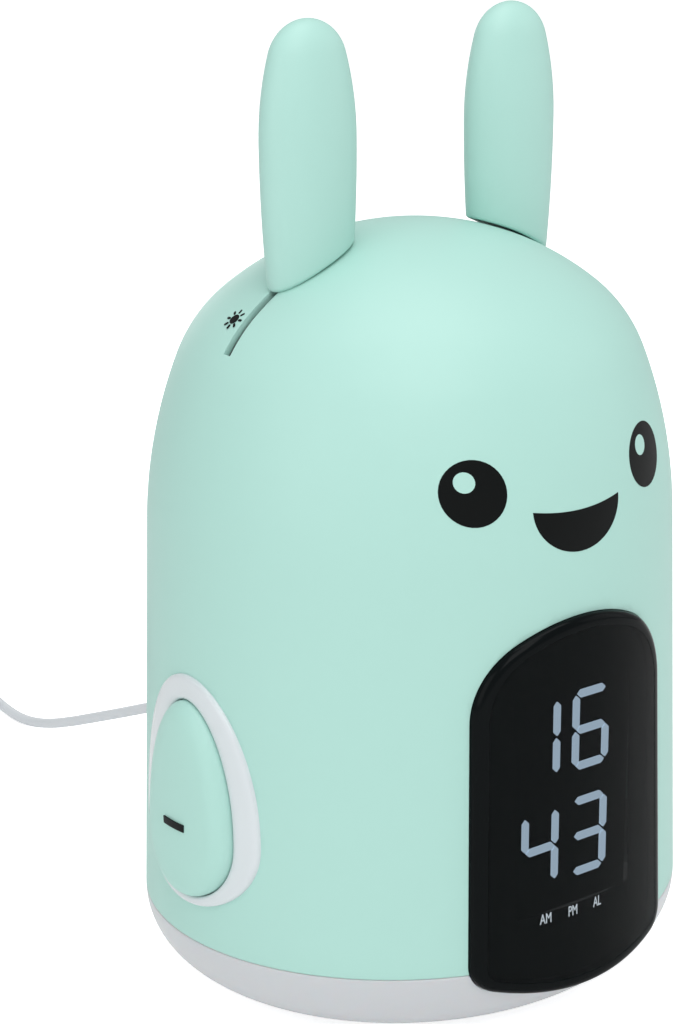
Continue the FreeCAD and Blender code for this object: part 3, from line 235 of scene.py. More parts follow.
def lathe(name, outline, squeeze, segments=192, material=None, closed=False):
    """Turns an outline of (radius, height) about Z and squeezes it in Y."""
    points, faces, rows = [], [], []
    for radius, height in outline:
        if radius < WELD:
            rows.append([len(points)] * segments)
            points.append((0, 0, height))
            continue
        rows.append(list(range(len(points), len(points) + segments)))
        for step in range(segments):
            turn = 2 * math.pi * step / segments
            points.append((radius * math.cos(turn), squeeze * radius * math.sin(turn), height))
    pairs = list(zip(rows, rows[1:]))
    if closed:
        pairs.append((rows[-1], rows[0]))
    for upper, lower in pairs:
        for step in range(segments):
            after = (step + 1) % segments
            ring = [upper[step], lower[step], lower[after], upper[after]]
            clean = [spot for number, spot in enumerate(ring) if spot not in ring[:number]]
            if len(clean) > 2:
                faces.append(clean)
    return mesh_object(name, points, faces, material)


def loft(name, rows, material=None, cap_first=False, cap_last=False):
    """Joins rows of as many points each; rows are closed loops."""
    count = len(rows[0])
    points = [point for row in rows for point in row]
    faces = []
    for number in range(len(rows) - 1):
        here, there = number * count, (number + 1) * count
        for step in range(count):
            after = (step + 1) % count
            faces.append((here + step, here + after, there + after, there + step))
    if cap_first:
        faces.append(tuple(range(count)))
    if cap_last:
        faces.append(tuple(range(len(points) - count, len(points))))
    return mesh_object(name, points, faces, material)


def prism(name, loop, direction):
    """Closed prism from a planar loop of points; used as a cutter."""
    count = len(loop)
    points = list(loop) + [Vector(point) + Vector(direction) for point in loop]
    faces = [tuple(range(count)), tuple(range(count, 2 * count))]
    for step in range(count):
        after = (step + 1) % count
        faces.append((step, after, count + after, count + step))
    return mesh_object(name, points, faces, smooth=False)


def applied(piece):
    """Bakes the modifiers of a piece into its mesh."""
    graph = bpy.context.evaluated_depsgraph_get()
    mesh = bpy.data.meshes.new_from_object(piece.evaluated_get(graph))
    old = piece.data
    piece.modifiers.clear()
    piece.data = mesh
    mesh.name = piece.name
    bpy.data.meshes.remove(old)
    return piece


def cut_away(piece, cutters):
    """Cuts the closed cutters out of a closed piece and deletes them."""
    for cutter in cutters:
        rule = piece.modifiers.new("cut", "BOOLEAN")
        rule.operation = "DIFFERENCE"
        rule.solver = "EXACT"
        rule.object = cutter
    applied(piece)
    for cutter in cutters:
        bpy.data.objects.remove(cutter)
    return piece


def soft_edges(piece, width, degrees=50, segments=2):
    """Rounds the sharp edges of a piece a little."""
    rule = piece.modifiers.new("edges", "BEVEL")
    rule.width = width
    rule.segments = segments
    rule.limit_method = "ANGLE"
    rule.angle_limit = math.radians(degrees)
    rule.harden_normals = False
    applied(piece)
    smoothed(piece.data)
    return sharpen(piece)


def dress(piece, body, nodes=()):
    """Hangs a piece on its body and hides the nodes that it replaces."""
    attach(piece, body)
    if nodes:
        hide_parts(*nodes)
    return piece


# Outlines, as loops of (across, height).

def arc_points(middle_x, middle_z, radius, first, last, count):
    """Points on an arc without its last one; angles from straight up, in radians."""
    return [(middle_x + radius * math.sin(first + (last - first) * step / count),
             middle_z + radius * math.cos(first + (last - first) * step / count))
            for step in range(count)]


POD_HALF, POD_TOP_HALF = 30 * MM, 28.8 * MM
POD_CROWN, POD_CORNER, POD_FOOT, POD_ARC = 40 * MM, 20 * MM, 7 * MM, 84 * MM
POD_LOW, POD_HIGH = 13 * MM, 104.6 * MM
LEAST_FOOT = 1 * MM
CROWN_STEPS, CORNER_STEPS, FLANK_STEPS, FOOT_STEPS = 14, 16, 28, 10


def pod_loop(inset):
    """Outline of the display pod moved in by inset, clockwise from its apex."""
    half = POD_HALF - inset
    crown_z = POD_HIGH - POD_CROWN
    corner_x = POD_TOP_HALF - POD_CORNER
    corner_z = crown_z + math.sqrt((POD_CROWN - POD_CORNER) ** 2 - corner_x ** 2)
    lean = math.atan2(corner_x, corner_z - crown_z)
    arc_z = POD_LOW + POD_ARC
    foot = POD_FOOT - min(inset, POD_FOOT - LEAST_FOOT)
    foot_x = half - foot
    foot_z = arc_z - math.sqrt((POD_ARC - inset - foot) ** 2 - foot_x ** 2)
    low = math.atan2(foot_x, arc_z - foot_z)
    right = arc_points(0, crown_z, POD_CROWN - inset, 0, lean, CROWN_STEPS)
    right += arc_points(corner_x, corner_z, POD_CORNER - inset, lean, math.pi / 2, CORNER_STEPS)
    start_x = corner_x + POD_CORNER - inset
    for step in range(FLANK_STEPS):
        share = step / FLANK_STEPS
        right.append((start_x + (half - start_x) * share, corner_z + (foot_z - corner_z) * share))
    right += arc_points(foot_x, foot_z, foot, math.pi / 2, math.pi - low, FOOT_STEPS)
    right += arc_points(0, arc_z, POD_ARC - inset, math.pi - low, math.pi, CROWN_STEPS)
    left = [(-x, z) for x, z in reversed(right[1:])]
    return right + [(0.0, POD_LOW + inset)] + left


def egg_loop(half, middle, low, high, count=96):
    """Egg made of two half ellipses, from its widest place upwards."""
    loop = []
    for step in range(count):
        turn = 2 * math.pi * step / count
        reach = high if math.sin(turn) >= 0 else low
        loop.append((half * math.cos(turn), middle + reach * math.sin(turn)))
    return loop


RING_HALF, RING_MIDDLE, RING_LOW, RING_HIGH = 22.5 * MM, 50 * MM, 18.8 * MM, 37.8 * MM
PAD_HALF, PAD_MIDDLE, PAD_LOW, PAD_HIGH = 15.6 * MM, 49 * MM, 15.7 * MM, 32.8 * MM


def ring_outer(inset=0.0):
    return egg_loop(RING_HALF - inset, RING_MIDDLE, RING_LOW - inset, RING_HIGH - inset)


def ring_inner(inset=0.0):
    return egg_loop(PAD_HALF - inset, PAD_MIDDLE, PAD_LOW - inset, PAD_HIGH - inset)


def rounded_rectangle(half, low, high, radius, count=8):
    """Upright rectangle with round corners, centred on x = 0."""
    loop = []
    for x, z, first in ((half - radius, high - radius, 0), (half - radius, low + radius, 90),
                        (radius - half, low + radius, 180), (radius - half, high - radius, 270)):
        for step in range(count + 1):
            turn = math.radians(first + 90 * step / count)
            loop.append((x + radius * math.sin(turn), z + radius * math.cos(turn)))
    return loop


def tiled(loop, place, spacing):
    """Fills an outline with small faces and sets each point on a surface.

    place takes (across, height) and gives the point in space.
    """
    sheet = bmesh.new()
    spots = [sheet.verts.new((x, 0, z)) for x, z in loop]
    sheet.faces.new(spots)
    for axis in (0, 2):
        low = min(spot.co[axis] for spot in spots)
        high = max(spot.co[axis] for spot in spots)
        count = int((high - low) / spacing)
        for step in range(1, count + 1):
            at = low + (high - low) * step / (count + 1)
            middle = Vector((0, 0, 0))
            middle[axis] = at
            normal = Vector((0, 0, 0))
            normal[axis] = 1
            bmesh.ops.bisect_plane(sheet, geom=sheet.verts[:] + sheet.edges[:] + sheet.faces[:],
                                   plane_co=middle, plane_no=normal)
    sheet.verts.index_update()
    points = [place(spot.co.x, spot.co.z) for spot in sheet.verts]
    faces = [tuple(spot.index for spot in face.verts) for face in sheet.faces]
    sheet.free()
    return points, faces


def skin_patch(name, loops, place, thickness, material, spacing=1.2 * MM):
    """Thin closed patches on a surface, one for each outline.

    place takes (across, height, proud). The patch reaches from -thickness to +thickness.
    """
    points, faces = [], []
    for loop in loops:
        outer, tiles = tiled(loop, lambda x, z: place(x, z, thickness), spacing)
        inner, _ = tiled(loop, lambda x, z: place(x, z, -thickness), spacing)
        start, lift = len(points), len(outer)
        points += outer + inner
        faces += [tuple(start + spot for spot in face) for face in tiles]
        faces += [tuple(start + lift + spot for spot in reversed(face)) for face in tiles]
        uses = {}
        for face in tiles:
            for one, two in zip(face, face[1:] + face[:1]):
                uses.setdefault(frozenset((one, two)), []).append((one, two))
        for edge in uses.values():
            if len(edge) == 1:
                one, two = edge[0]
                faces.append((start + two, start + one, start + lift + one, start + lift + two))
    piece = mesh_object(name, points, faces, material)
    return sharpen(piece)


# Materials.

class Finish:
    """A small builder round one Principled material."""

    def __init__(self, name, colour, roughness, **sockets):
        self.material = bpy.data.materials.new(name)
        self.material.use_nodes = True
        self.tree = self.material.node_tree
        self.shader = self.tree.nodes["Principled BSDF"]
        self.material.diffuse_color = (*colour, 1)
        self.set("Base Color", (*colour, 1))
        self.set("Roughness", roughness)
        for word, value in sockets.items():
            self.set(word.replace("_", " "), value)
        self.colour = colour
        self.roughness = roughness
        self.spot = None

    def set(self, socket, value):
        self.shader.inputs[socket].default_value = value

    def node(self, kind, **sockets):
        made = self.tree.nodes.new(kind)
        for word, value in sockets.items():
            made.inputs[word.replace("_", " ")].default_value = value
        return made

    def link(self, source, output, target, socket):
        self.tree.links.new(source.outputs[output], target.inputs[socket])

    def coordinates(self):
        if self.spot is None:
            self.spot = self.tree.nodes.new("ShaderNodeTexCoord")
        return self.spot

    def noise(self, scale, detail=2.0, roughness=0.5):
        made = self.node("ShaderNodeTexNoise", Scale=scale, Detail=detail, Roughness=roughness)
        self.link(self.coordinates(), "Object", made, "Vector")
        return made

    def spread(self, noise, middle, amount):
        """Maps noise to the values round a middle one."""
        ramp = self.node("ShaderNodeMapRange", To_Min=middle - amount, To_Max=middle + amount)
        self.link(noise, "Fac", ramp, "Value")
        return ramp

    def vary_colour(self, scale, amount):
        """Slight change of tone over the surface, as in moulded plastic."""
        ramp = self.spread(self.noise(scale, 3.0), 1, amount)
        mix = self.tree.nodes.new("ShaderNodeVectorMath")
        mix.operation = "SCALE"
        mix.inputs[0].default_value = self.colour
        self.link(ramp, "Result", mix, "Scale")
        self.link(mix, "Vector", self.shader, "Base Color")
        return self

    def vary_roughness(self, scale, amount):
        """Slight change of gloss over the surface."""
        ramp = self.spread(self.noise(scale, 4.0), self.roughness, amount)
        self.link(ramp, "Result", self.shader, "Roughness")
        return self

    def grain(self, scale, depth, strength=0.25):
        """Fine surface relief from noise."""
        noise = self.noise(scale, 3.0, 0.6)
        bump = self.node("ShaderNodeBump", Strength=strength, Distance=depth)
        self.link(noise, "Fac", bump, "Height")
        self.link(bump, "Normal", self.shader, "Normal")
        return self


MADE = {}


def finish(name):
    """The named material, made the first time it is asked for."""
    if name not in MADE:
        MADE[name] = FINISHES[name]().material
    return MADE[name]


def mint_plastic():
    made = Finish("mint_plastic", colours().mint, 0.44, Specular_IOR_Level=0.32,
                  Coat_Weight=0.06, Coat_Roughness=0.35)
    return made.vary_colour(14, 0.012).vary_roughness(220, 0.03).grain(2600, 0.00004)


def ring_plastic():
    made = Finish("ring_plastic", colours().ring, 0.25, Coat_Weight=0.4, Coat_Roughness=0.12)
    return made.vary_colour(30, 0.01).grain(1800, 0.00002, 0.15)


def base_plastic_painted_glow():
    # Emission_Strength gives the base a faint white painted glow that lifts its shaded sides; it is
    # painted light, not the night light switched on.
    made = Finish("base_plastic_painted_glow", colours().base, 0.33, Subsurface_Weight=0.25,
                  Subsurface_Scale=0.004, Coat_Weight=0.2, Coat_Roughness=0.2,
                  Emission_Strength=0.13)
    return made.vary_colour(25, 0.012).grain(2200, 0.00003, 0.2)


def bezel_plastic():
    made = Finish("bezel_plastic", colours().black, 0.13, Specular_IOR_Level=0.07)
    return made.vary_roughness(160, 0.03)


def lens_pane():
    """Smoked pane: mostly black, a little of what is behind shows through."""
    made = Finish("lens_pane", colours().black, 0.12, Alpha=0.72, Specular_IOR_Level=0.08)
    made.vary_roughness(90, 0.02)
    made.material.surface_render_method = "DITHERED"
    return made


def dark_plastic():
    made = Finish("dark_plastic", (0.0015, 0.0018, 0.002), 0.9, Specular_IOR_Level=0.0)
    return made.grain(1800, 0.00004)


def digit_glow():
    made = Finish("digit_glow", colours().digits, 0.5, Emission_Strength=8.2)
    made.set("Emission Color", (*colours().digits, 1))
    return made.vary_roughness(300, 0.05)


def label_glow():
    made = Finish("label_glow", (0.5, 0.55, 0.6), 0.5, Emission_Strength=9.0)
    made.set("Emission Color", (0.62, 0.70, 0.76, 1))
    return made.vary_roughness(300, 0.05)


def face_print():
    made = Finish("face_print", colours().print_black, 0.42, Specular_IOR_Level=0.1)
    return made.vary_roughness(400, 0.04).grain(3000, 0.00002, 0.2)


def highlight_print():
    made = Finish("highlight_print", colours().mint, 0.38)
    return made.vary_colour(60, 0.01).grain(3000, 0.00002, 0.2)


def foot_rubber():
    return Finish("foot_rubber", (0.035, 0.035, 0.037), 0.85).grain(900, 0.0001, 0.4)


def steel():
    made = Finish("steel", (0.62, 0.62, 0.63), 0.3, Metallic=1.0)
    return made.vary_roughness(300, 0.08)


def board_lacquer():
    made = Finish("board_lacquer", (0.015, 0.13, 0.06), 0.35)
    return made.vary_colour(200, 0.15)


def inner_plastic():
    return Finish("inner_plastic", (0.62, 0.66, 0.66), 0.5).grain(1500, 0.00004)


def lamp_epoxy():
    made = Finish("lamp_epoxy", (0.85, 0.80, 0.42), 0.2)
    return made.vary_roughness(400, 0.05)


def cord_vinyl():
    made = Finish("cord_vinyl", colours().cord, 0.45)
    return made.vary_colour(120, 0.02).grain(2400, 0.00003, 0.3)


FINISHES = {
    "mint": mint_plastic, "ring": ring_plastic, "base": base_plastic_painted_glow, "bezel": bezel_plastic,
    "lens": lens_pane, "dark": dark_plastic, "digits": digit_glow, "labels": label_glow,
    "face": face_print, "highlight": highlight_print, "rubber": foot_rubber, "steel": steel,
    "board": board_lacquer, "inner": inner_plastic, "lamp": lamp_epoxy, "cord": cord_vinyl,
}

NODE_FINISHES = {
    "mint": ["rear_panel", "key_minus", "key_plus"],
    "ring": ["rear_key_1", "rear_key_2", "rear_key_3", "rear_key_4"],
    "base": ["bottom_cover", "cell_door"],
    "dark": ["display_mask", "display_module", "display_board", "main_board_parts", "key_switches",
             "ear_switches", "rear_switches", "speaker", "power_inlet"],
    "digits": ["digit_segments"],
    "face": ["minus_mark", "plus_mark"],
    "rubber": ["rubber_feet", "speaker_gasket"],
    "steel": ["cover_screws", "chassis_screws", "backup_cell", "ear_left_screw",
              "ear_right_screw", "usb_shell"],
    "board": ["main_board", "night_light_board", "key_board_minus",
              "key_board_plus", "rear_key_board"],
    "inner": ["chassis", "cell_holder", "ear_left_stem", "ear_left_slider", "ear_right_stem",
              "ear_right_slider", "ear_left_guide", "ear_right_guide"],
    "lamp": ["night_light_lamps"],
    "cord": ["usb_tongue"],
}

class PieceOperator:
    """What every operator of this file shares."""
    bl_options = {"REGISTER", "UNDO"}

    def execute(self, context):
        self.build(BodySurface(sizes()), sizes())
        return {"FINISHED"}


class CLOCK_OT_inner_finishes(PieceOperator, bpy.types.Operator):
    """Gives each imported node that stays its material"""
    bl_idname = "clock.inner_finishes"
    bl_label = "Packed nodes"

    def build(self, surface, size):
        for name, nodes in NODE_FINISHES.items():
            for node in nodes:
                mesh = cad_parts[node].data
                mesh.materials.clear()
                mesh.materials.append(finish(name))


# Rooms for the display, the back panel, the side keys and the ears' slots.

ROOM_NEAR, ROOM_FAR = 30 * MM, 90 * MM
ROOM_GAP = 0.15 * MM
RING_BITE = 0.2 * MM
PANEL_HALF, PANEL_LOW, PANEL_HIGH, PANEL_CORNER = 28 * MM, 24 * MM, 100 * MM, 8 * MM
PANEL_RIM = 2.2 * MM
SLOT_OUTSIDE, SLOT_INSIDE = 5 * MM, 8 * MM
SLOT_START_TURN = 5
SLOT_STEPS = 12


def room(name, loop, low):
    """Cutter with an outline in XZ that runs along Y from low."""
    return prism(name, [Vector((x, low, z)) for x, z in loop], (0, ROOM_FAR - ROOM_NEAR, 0))


def pod_room():
    return room("pod_room", pod_loop(-ROOM_GAP), -ROOM_FAR)


def panel_room(grow):
    return room("panel_room", rounded_rectangle(PANEL_HALF + grow, PANEL_LOW - grow,
                                                PANEL_HIGH + grow, PANEL_CORNER), ROOM_NEAR)


def key_room(sign):
    return prism("key_room", [Vector((sign * ROOM_NEAR, y, z)) for y, z in ring_outer(RING_BITE)],
                 (sign * (ROOM_FAR - ROOM_NEAR), 0, 0))


def slot_room(surface, size, sign):
    """Room that an ear's slot takes through the shell."""
    middle = surface.crown[1]
    ear_x = (corner("ear_right_shell", 0, 0) + corner("ear_right_shell", 1, 0)) / 2
    first = math.asin(ear_x / size.crown_radius) - math.radians(SLOT_START_TURN)
    last = math.radians(size.slot_end_angle)
    loop = []
    for radius, turns in ((size.crown_radius + SLOT_OUTSIDE, range(SLOT_STEPS + 1)),
                          (size.crown_radius - SLOT_INSIDE, range(SLOT_STEPS, -1, -1))):
        for step in turns:
            turn = first + (last - first) * step / SLOT_STEPS
            loop.append(Vector((sign * radius * math.sin(turn), -size.slot_width / 2,
                                middle + radius * math.cos(turn))))
    return prism("slot_room", loop, (0, size.slot_width, 0))


SEAM_GAP = 0.12 * MM
SEAM_EDGE = 0.35 * MM
SEAM_TURNS = (30, 60, 90)
INNER_FINENESS = 0.4


class CLOCK_OT_shell(PieceOperator, bpy.types.Operator):
    """Oval body shell with its openings"""
    bl_idname = "clock.shell"
    bl_label = "Body shell"

    def build(self, surface, size):
        low = size.seam_height + SEAM_GAP
        outer = surface.outline(0, low + SEAM_EDGE)
        side = outer[-1][0]
        for turn in map(math.radians, SEAM_TURNS):
            outer.append((side - SEAM_EDGE * (1 - math.cos(turn)),
                          low + SEAM_EDGE * (1 - math.sin(turn))))
        inner = surface.outline(size.shell_wall, low, INNER_FINENESS)
        shell = lathe("body_skin", outer + list(reversed(inner)), surface.squeeze,
                      material=finish("mint"))
        cutters = [pod_room(), panel_room(ROOM_GAP)]
        for sign in (-1, 1):
            cutters += [key_room(sign), slot_room(surface, size, sign)]
        cut_away(shell, cutters)
        soft_edges(shell, 0.22 * MM)
        dress(shell, "body", ["body_shell"])


BASE_LOW, BASE_FLAT, BASE_HOLE = 1.4 * MM, 43 * MM, 40 * MM
BASE_RECESS, BASE_WALL = 2.6 * MM, 2.4 * MM
BASE_ROWS, BASE_INNER_ROWS = 48, 24
LIP_GAP, LIP_WALL, LIP_REACH = 0.45 * MM, 1.8 * MM, 3 * MM
ROWS_UNDER_LIP = 4


class CLOCK_OT_base(PieceOperator, bpy.types.Operator):
    """Translucent base ring under the seam, whose material adds a faint painted glow"""
    bl_idname = "clock.base"
    bl_label = "Lit base"

    def build(self, surface, size):
        top = size.seam_height
        seam = surface.side_radius(top)
        outline = [(seam - SEAM_EDGE * (1 - math.cos(turn)), top - SEAM_EDGE * (1 - math.sin(turn)))
                   for turn in map(math.radians, reversed(SEAM_TURNS))]
        outline += self.bowl(seam, top - SEAM_EDGE, BASE_LOW, BASE_ROWS)
        floor = BASE_LOW + BASE_WALL
        outline += [(BASE_FLAT, BASE_RECESS), (BASE_HOLE, BASE_RECESS), (BASE_HOLE, floor)]
        inner = self.bowl(seam - BASE_WALL, top, floor, BASE_INNER_ROWS)
        outline += list(reversed(inner))[:-ROWS_UNDER_LIP]
        lip = seam - size.shell_wall - LIP_GAP
        outline += [(lip - LIP_WALL, top - LIP_REACH), (lip - LIP_WALL, top + LIP_REACH),
                    (lip, top + LIP_REACH), (lip, top)]
        ring = lathe("base_glow_ring", outline, surface.squeeze, material=finish("base"),
                     closed=True)
        cut_away(ring, [pod_room(), panel_room(PANEL_RIM)])
        soft_edges(ring, 0.2 * MM)
        dress(ring, "body", ["base_light_ring"])

    @staticmethod
    def bowl(side, top, low, rows):
        """Quarter oval from the side wall down to the flat underside."""
        turns = [math.pi / 2 * step / rows for step in range(rows + 1)]
        return [(BASE_FLAT + (side - BASE_FLAT) * math.cos(turn),
                 top - (top - low) * math.sin(turn)) for turn in turns]


BEZEL_DEPTH, LENS_SEAT = 5.2 * MM, 3 * MM
BEZEL_ROUND, BEZEL_INNER_ROUND = 1.8 * MM, 0.12 * MM
LENS_GAP, LENS_SINK, LENS_DEPTH, LENS_TILE = 0.04 * MM, 0.06 * MM, 2.2 * MM, 2.5 * MM


class CLOCK_OT_pod(PieceOperator, bpy.types.Operator):
    """Glossy bezel and smoked lens of the display"""
    bl_idname = "clock.pod"
    bl_label = "Display pod"

    def build(self, surface, size):
        rim, proud = size.pod_rim, size.pod_proud
        sections = [(0, -BEZEL_DEPTH), (0, proud - BEZEL_ROUND)]
        for turn in map(math.radians, (15, 30, 45, 60, 75, 90)):
            sections.append((BEZEL_ROUND * (1 - math.cos(turn)),
                             proud - BEZEL_ROUND * (1 - math.sin(turn))))
        for turn in map(math.radians, (0, 22, 45, 67, 90)):
            sections.append((rim - BEZEL_INNER_ROUND * (1 - math.sin(turn)),
                             proud - BEZEL_INNER_ROUND * (1 - math.cos(turn))))
        sections += [(rim, proud - LENS_SEAT), (rim, -BEZEL_DEPTH), (0, -BEZEL_DEPTH)]
        rows = [[surface.pod(x, z, height) for x, z in pod_loop(inset)]
                for inset, height in sections]
        bezel = loft("pod_bezel", rows, finish("bezel"))
        sharpen(bezel, 50)
        dress(bezel, "body", ["display_bezel"])

        def on_lens(x, z, side):
            return surface.pod(x, z, proud - (LENS_SINK if side > 0 else LENS_DEPTH))
        lens = skin_patch("pod_lens", [pod_loop(rim + LENS_GAP)], on_lens, MM, finish("lens"),
                          LENS_TILE)
        dress(lens, "body", ["display_lens"])


LABEL_PLACES = {"AM": -10.6 * MM, "PM": -2.7 * MM, "AL": 5.2 * MM}
LABEL_Z, LABEL_SIZE, LABEL_SQUEEZE = 31.9 * MM, 3.7 * MM, 0.62
LABEL_SINK, LABEL_HALF_DEPTH = 0.42 * MM, 0.05 * MM


def text_mesh(name, words, material):
    """Letters as a mesh, centred, standing in the XZ plane and facing -Y."""
    curve = bpy.data.curves.new(name, "FONT")
    curve.body = words
    curve.size = LABEL_SIZE
    curve.align_x = "CENTER"
    curve.align_y = "CENTER"
    curve.extrude = LABEL_HALF_DEPTH
    holder = linked(name, curve)
    graph = bpy.context.evaluated_depsgraph_get()
    mesh = bpy.data.meshes.new_from_object(holder.evaluated_get(graph))
    bpy.data.objects.remove(holder)
    mesh.transform(Matrix.Rotation(math.pi / 2, 4, "X"))
    mesh.materials.clear()
    mesh.materials.append(material)
    return linked(name, mesh)


class CLOCK_OT_labels(PieceOperator, bpy.types.Operator):
    """Small time-of-day and alarm labels behind the lens"""
    bl_idname = "clock.labels"
    bl_label = "Display labels"

    def build(self, surface, size):
        for word, across in LABEL_PLACES.items():
            label = text_mesh("label_" + word.lower(), word, finish("labels"))
            for spot in label.data.vertices:
                x, depth, z = spot.co
                spot.co = surface.pod(across + LABEL_SQUEEZE * x, LABEL_Z + z, -LABEL_SINK - depth)
            dress(label, "body")


RING_ROOT, RING_SINK, RING_INNER_SINK = 3.6 * MM, 0.4 * MM, 1.2 * MM
RING_STEPS, RING_SQUARE, RING_ROUND = 18, 2.4, 0.5
KEY_ROOT, KEY_EDGE, KEY_TOP, KEY_GAP = 6 * MM, 0.7 * MM, 4.4 * MM, 0.2 * MM
KEY_STEPS, KEY_SQUARE = 28, 8


class CLOCK_OT_side_keys(PieceOperator, bpy.types.Operator):
    """Domed oval keys in their white rings"""
    bl_idname = "clock.side_keys"
    bl_label = "Side keys"

    def build(self, surface, size):
        for name, sign in (("minus", -1), ("plus", 1)):
            self.ring(surface, size, name, sign)
            self.key(surface, name, sign)

    @staticmethod
    def ring(surface, size, name, sign):
        """White ring whose section is a flattened arch between two eggs."""
        sections = [(0.0, -RING_ROOT), (0.0, -RING_SINK)]
        for step in range(1, RING_STEPS):
            share = step / RING_STEPS
            bulge = (1 - abs(2 * share - 1) ** RING_SQUARE) ** RING_ROUND
            sections.append((0.5 - 0.5 * math.cos(math.pi * share),
                             -RING_SINK + (size.ring_proud + RING_SINK) * bulge))
        sections += [(1.0, -RING_INNER_SINK), (1.0, -RING_ROOT), (0.0, -RING_ROOT)]
        pairs = list(zip(ring_outer(), ring_inner()))
        rows = [[surface.flank(y1 + (y2 - y1) * share, z1 + (z2 - z1) * share, height, sign)
                 for (y1, z1), (y2, z2) in pairs] for share, height in sections]
        ring = loft("key_rim_" + name, rows, finish("ring"))
        sharpen(ring, 60)
        dress(ring, "body", ["key_ring_" + name])

    @staticmethod
    def key(surface, name, sign):
        """Pad that follows the wall and rounds over at its edge."""
        rim = ring_inner(KEY_GAP)
        rows = [[surface.flank(y, z, proud, sign) for y, z in rim]
                for proud in (-KEY_ROOT, KEY_EDGE)]
        for step in range(1, KEY_STEPS + 1):
            share = math.cos(math.pi / 2 * step / KEY_STEPS)
            proud = KEY_EDGE + (KEY_TOP - KEY_EDGE) * math.sqrt(1 - share ** KEY_SQUARE)
            rows.append([surface.flank(y * share, RING_MIDDLE + (z - RING_MIDDLE) * share, proud,
                                       sign) for y, z in rim])
        key = loft("key_cap_" + name, rows, finish("mint"), cap_first=True)
        sharpen(key, 50)
        dress(key, "side_key_" + name, ["key_" + name])


EAR_TIP_ROWS, EAR_WIDE_ROWS, EAR_SIDE_ROWS = 25, 12, 61
EAR_ROW = 0.8 * MM
EAR_COLUMNS, EAR_ROWS = 96, 56
EAR_EDGE = 0.9 * MM
EAR_EDGE_TURNS = (22.5, 45, 67.5, 90)
EAR_FLOOR_SHARES = (0.7, 0.35)
HALVINGS = 40


class CLOCK_OT_ears(PieceOperator, bpy.types.Operator):
    """Two tall ears that end just above the crown"""
    bl_idname = "clock.ears"
    bl_label = "Ears"

    def build(self, surface, size):
        for side in ("left", "right"):
            node = "ear_%s_shell" % side
            low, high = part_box(node)
            middle = (low[0] + high[0]) / 2
            outline = self.outline(high[0] - middle, high[2], size)
            ratio = (high[1] - low[1]) / (high[0] - low[0])
            ear = self.skin("ear_skin_" + side, surface, size, outline, middle, ratio)
            dress(ear, "ear_" + side, [node])

    @staticmethod
    def outline(half, top, size):
        """Radius of the ear at a height, as three tangent arcs."""
        tip, widest, taper = size.ear_tip_radius, size.ear_widest, size.ear_taper_radius
        tip_z = top - tip
        drop = tip_z - widest
        side = (drop ** 2 + half ** 2 - tip ** 2) / (2 * (half - tip))
        level = math.pi / 2
        lean = level - math.atan2(drop, side - half)
        points = arc_points(0, tip_z, tip, 0, lean, EAR_TIP_ROWS)
        points += arc_points(half - side, widest, side, lean, level, EAR_WIDE_ROWS)
        for step in range(EAR_SIDE_ROWS):
            drop = step * EAR_ROW
            points.append((half - taper + math.sqrt(taper ** 2 - drop ** 2), widest - drop))
        return points

    @staticmethod
    def skin(name, surface, size, outline, middle, ratio):
        """Columns run down the ear to the crown, then turn in under it."""
        crown_mid = surface.crown[1]
        clear = size.crown_radius + size.ear_gap
        squeeze = surface.squeeze

        def floor(x, y):
            return crown_mid + math.sqrt(clear ** 2 - x ** 2 - (y / squeeze) ** 2)

        def above(x, y, z):
            return x ** 2 + (y / squeeze) ** 2 + (z - crown_mid) ** 2 - clear ** 2

        def at(run, turn):
            spot = min(int(run), len(outline) - 2)
            share = run - spot
            (radius, z), (next_radius, next_z) = outline[spot:spot + 2]
            radius += (next_radius - radius) * share
            z += (next_z - z) * share
            return (middle + radius * math.cos(turn), ratio * radius * math.sin(turn), z)
        columns = []
        for step in range(EAR_COLUMNS):
            turn = 2 * math.pi * step / EAR_COLUMNS
            low, high = 20.0, len(outline) - 1.001
            for _ in range(HALVINGS):
                half = (low + high) / 2
                if above(*at(half, turn)) > 0:
                    low = half
                else:
                    high = half
            end = low - EAR_EDGE / EAR_ROW
            column = [Vector(at(end * row / EAR_ROWS, turn)) for row in range(1, EAR_ROWS + 1)]
            last = column[-1]
            foot = Vector(at(low, turn))
            inward = Vector((middle - foot.x, -foot.y, 0)).normalized()
            down = (foot - last).normalized()
            for bend in map(math.radians, EAR_EDGE_TURNS):
                column.append(last + down * EAR_EDGE * math.sin(bend)
                              + inward * EAR_EDGE * (1 - math.cos(bend)))
            brim = column[-1]
            for share in EAR_FLOOR_SHARES:
                x, y = middle + (brim.x - middle) * share, brim.y * share
                column.append(Vector((x, y, floor(x, y))))
            columns.append(column)
        rings = [[Vector((middle, 0, outline[0][1]))] * EAR_COLUMNS]
        rings += [list(ring) for ring in zip(*columns)]
        rings.append([Vector((middle, 0, floor(middle, 0)))] * EAR_COLUMNS)
        return sharpen(loft(name, rings, finish("mint")), 70)


# A plain face of simple shapes, printed on the front.

PRINT_RISE, GLINT_RISE = 0.05 * MM, 0.09 * MM
EYE_X, EYE_Z, EYE_HALF_X, EYE_HALF_Z = 26 * MM, 136 * MM, 7.3 * MM, 7.4 * MM
GLINT_SHIFT, GLINT_Z, GLINT_RADIUS, GLINT_STEPS = 1.8 * MM, 138.6 * MM, 2.3 * MM, 24
SMILE_HALF, SMILE_Z, SMILE_DEPTH, SMILE_SAG = 13 * MM, 130.4 * MM, 10.8 * MM, 1.3 * MM
SMILE_STEPS, LIP_STEPS = 32, 16
SUN_ANGLE, SUN_ACROSS, SUN_RADIUS, SUN_STEPS = 40.2, 4.9 * MM, 1.35 * MM, 20
RAYS, RAY_REACHES, RAY_WIDTH = 8, (1.95 * MM, 2.25 * MM, 2.6 * MM), 0.62 * MM
SUN_TILE = 0.8 * MM


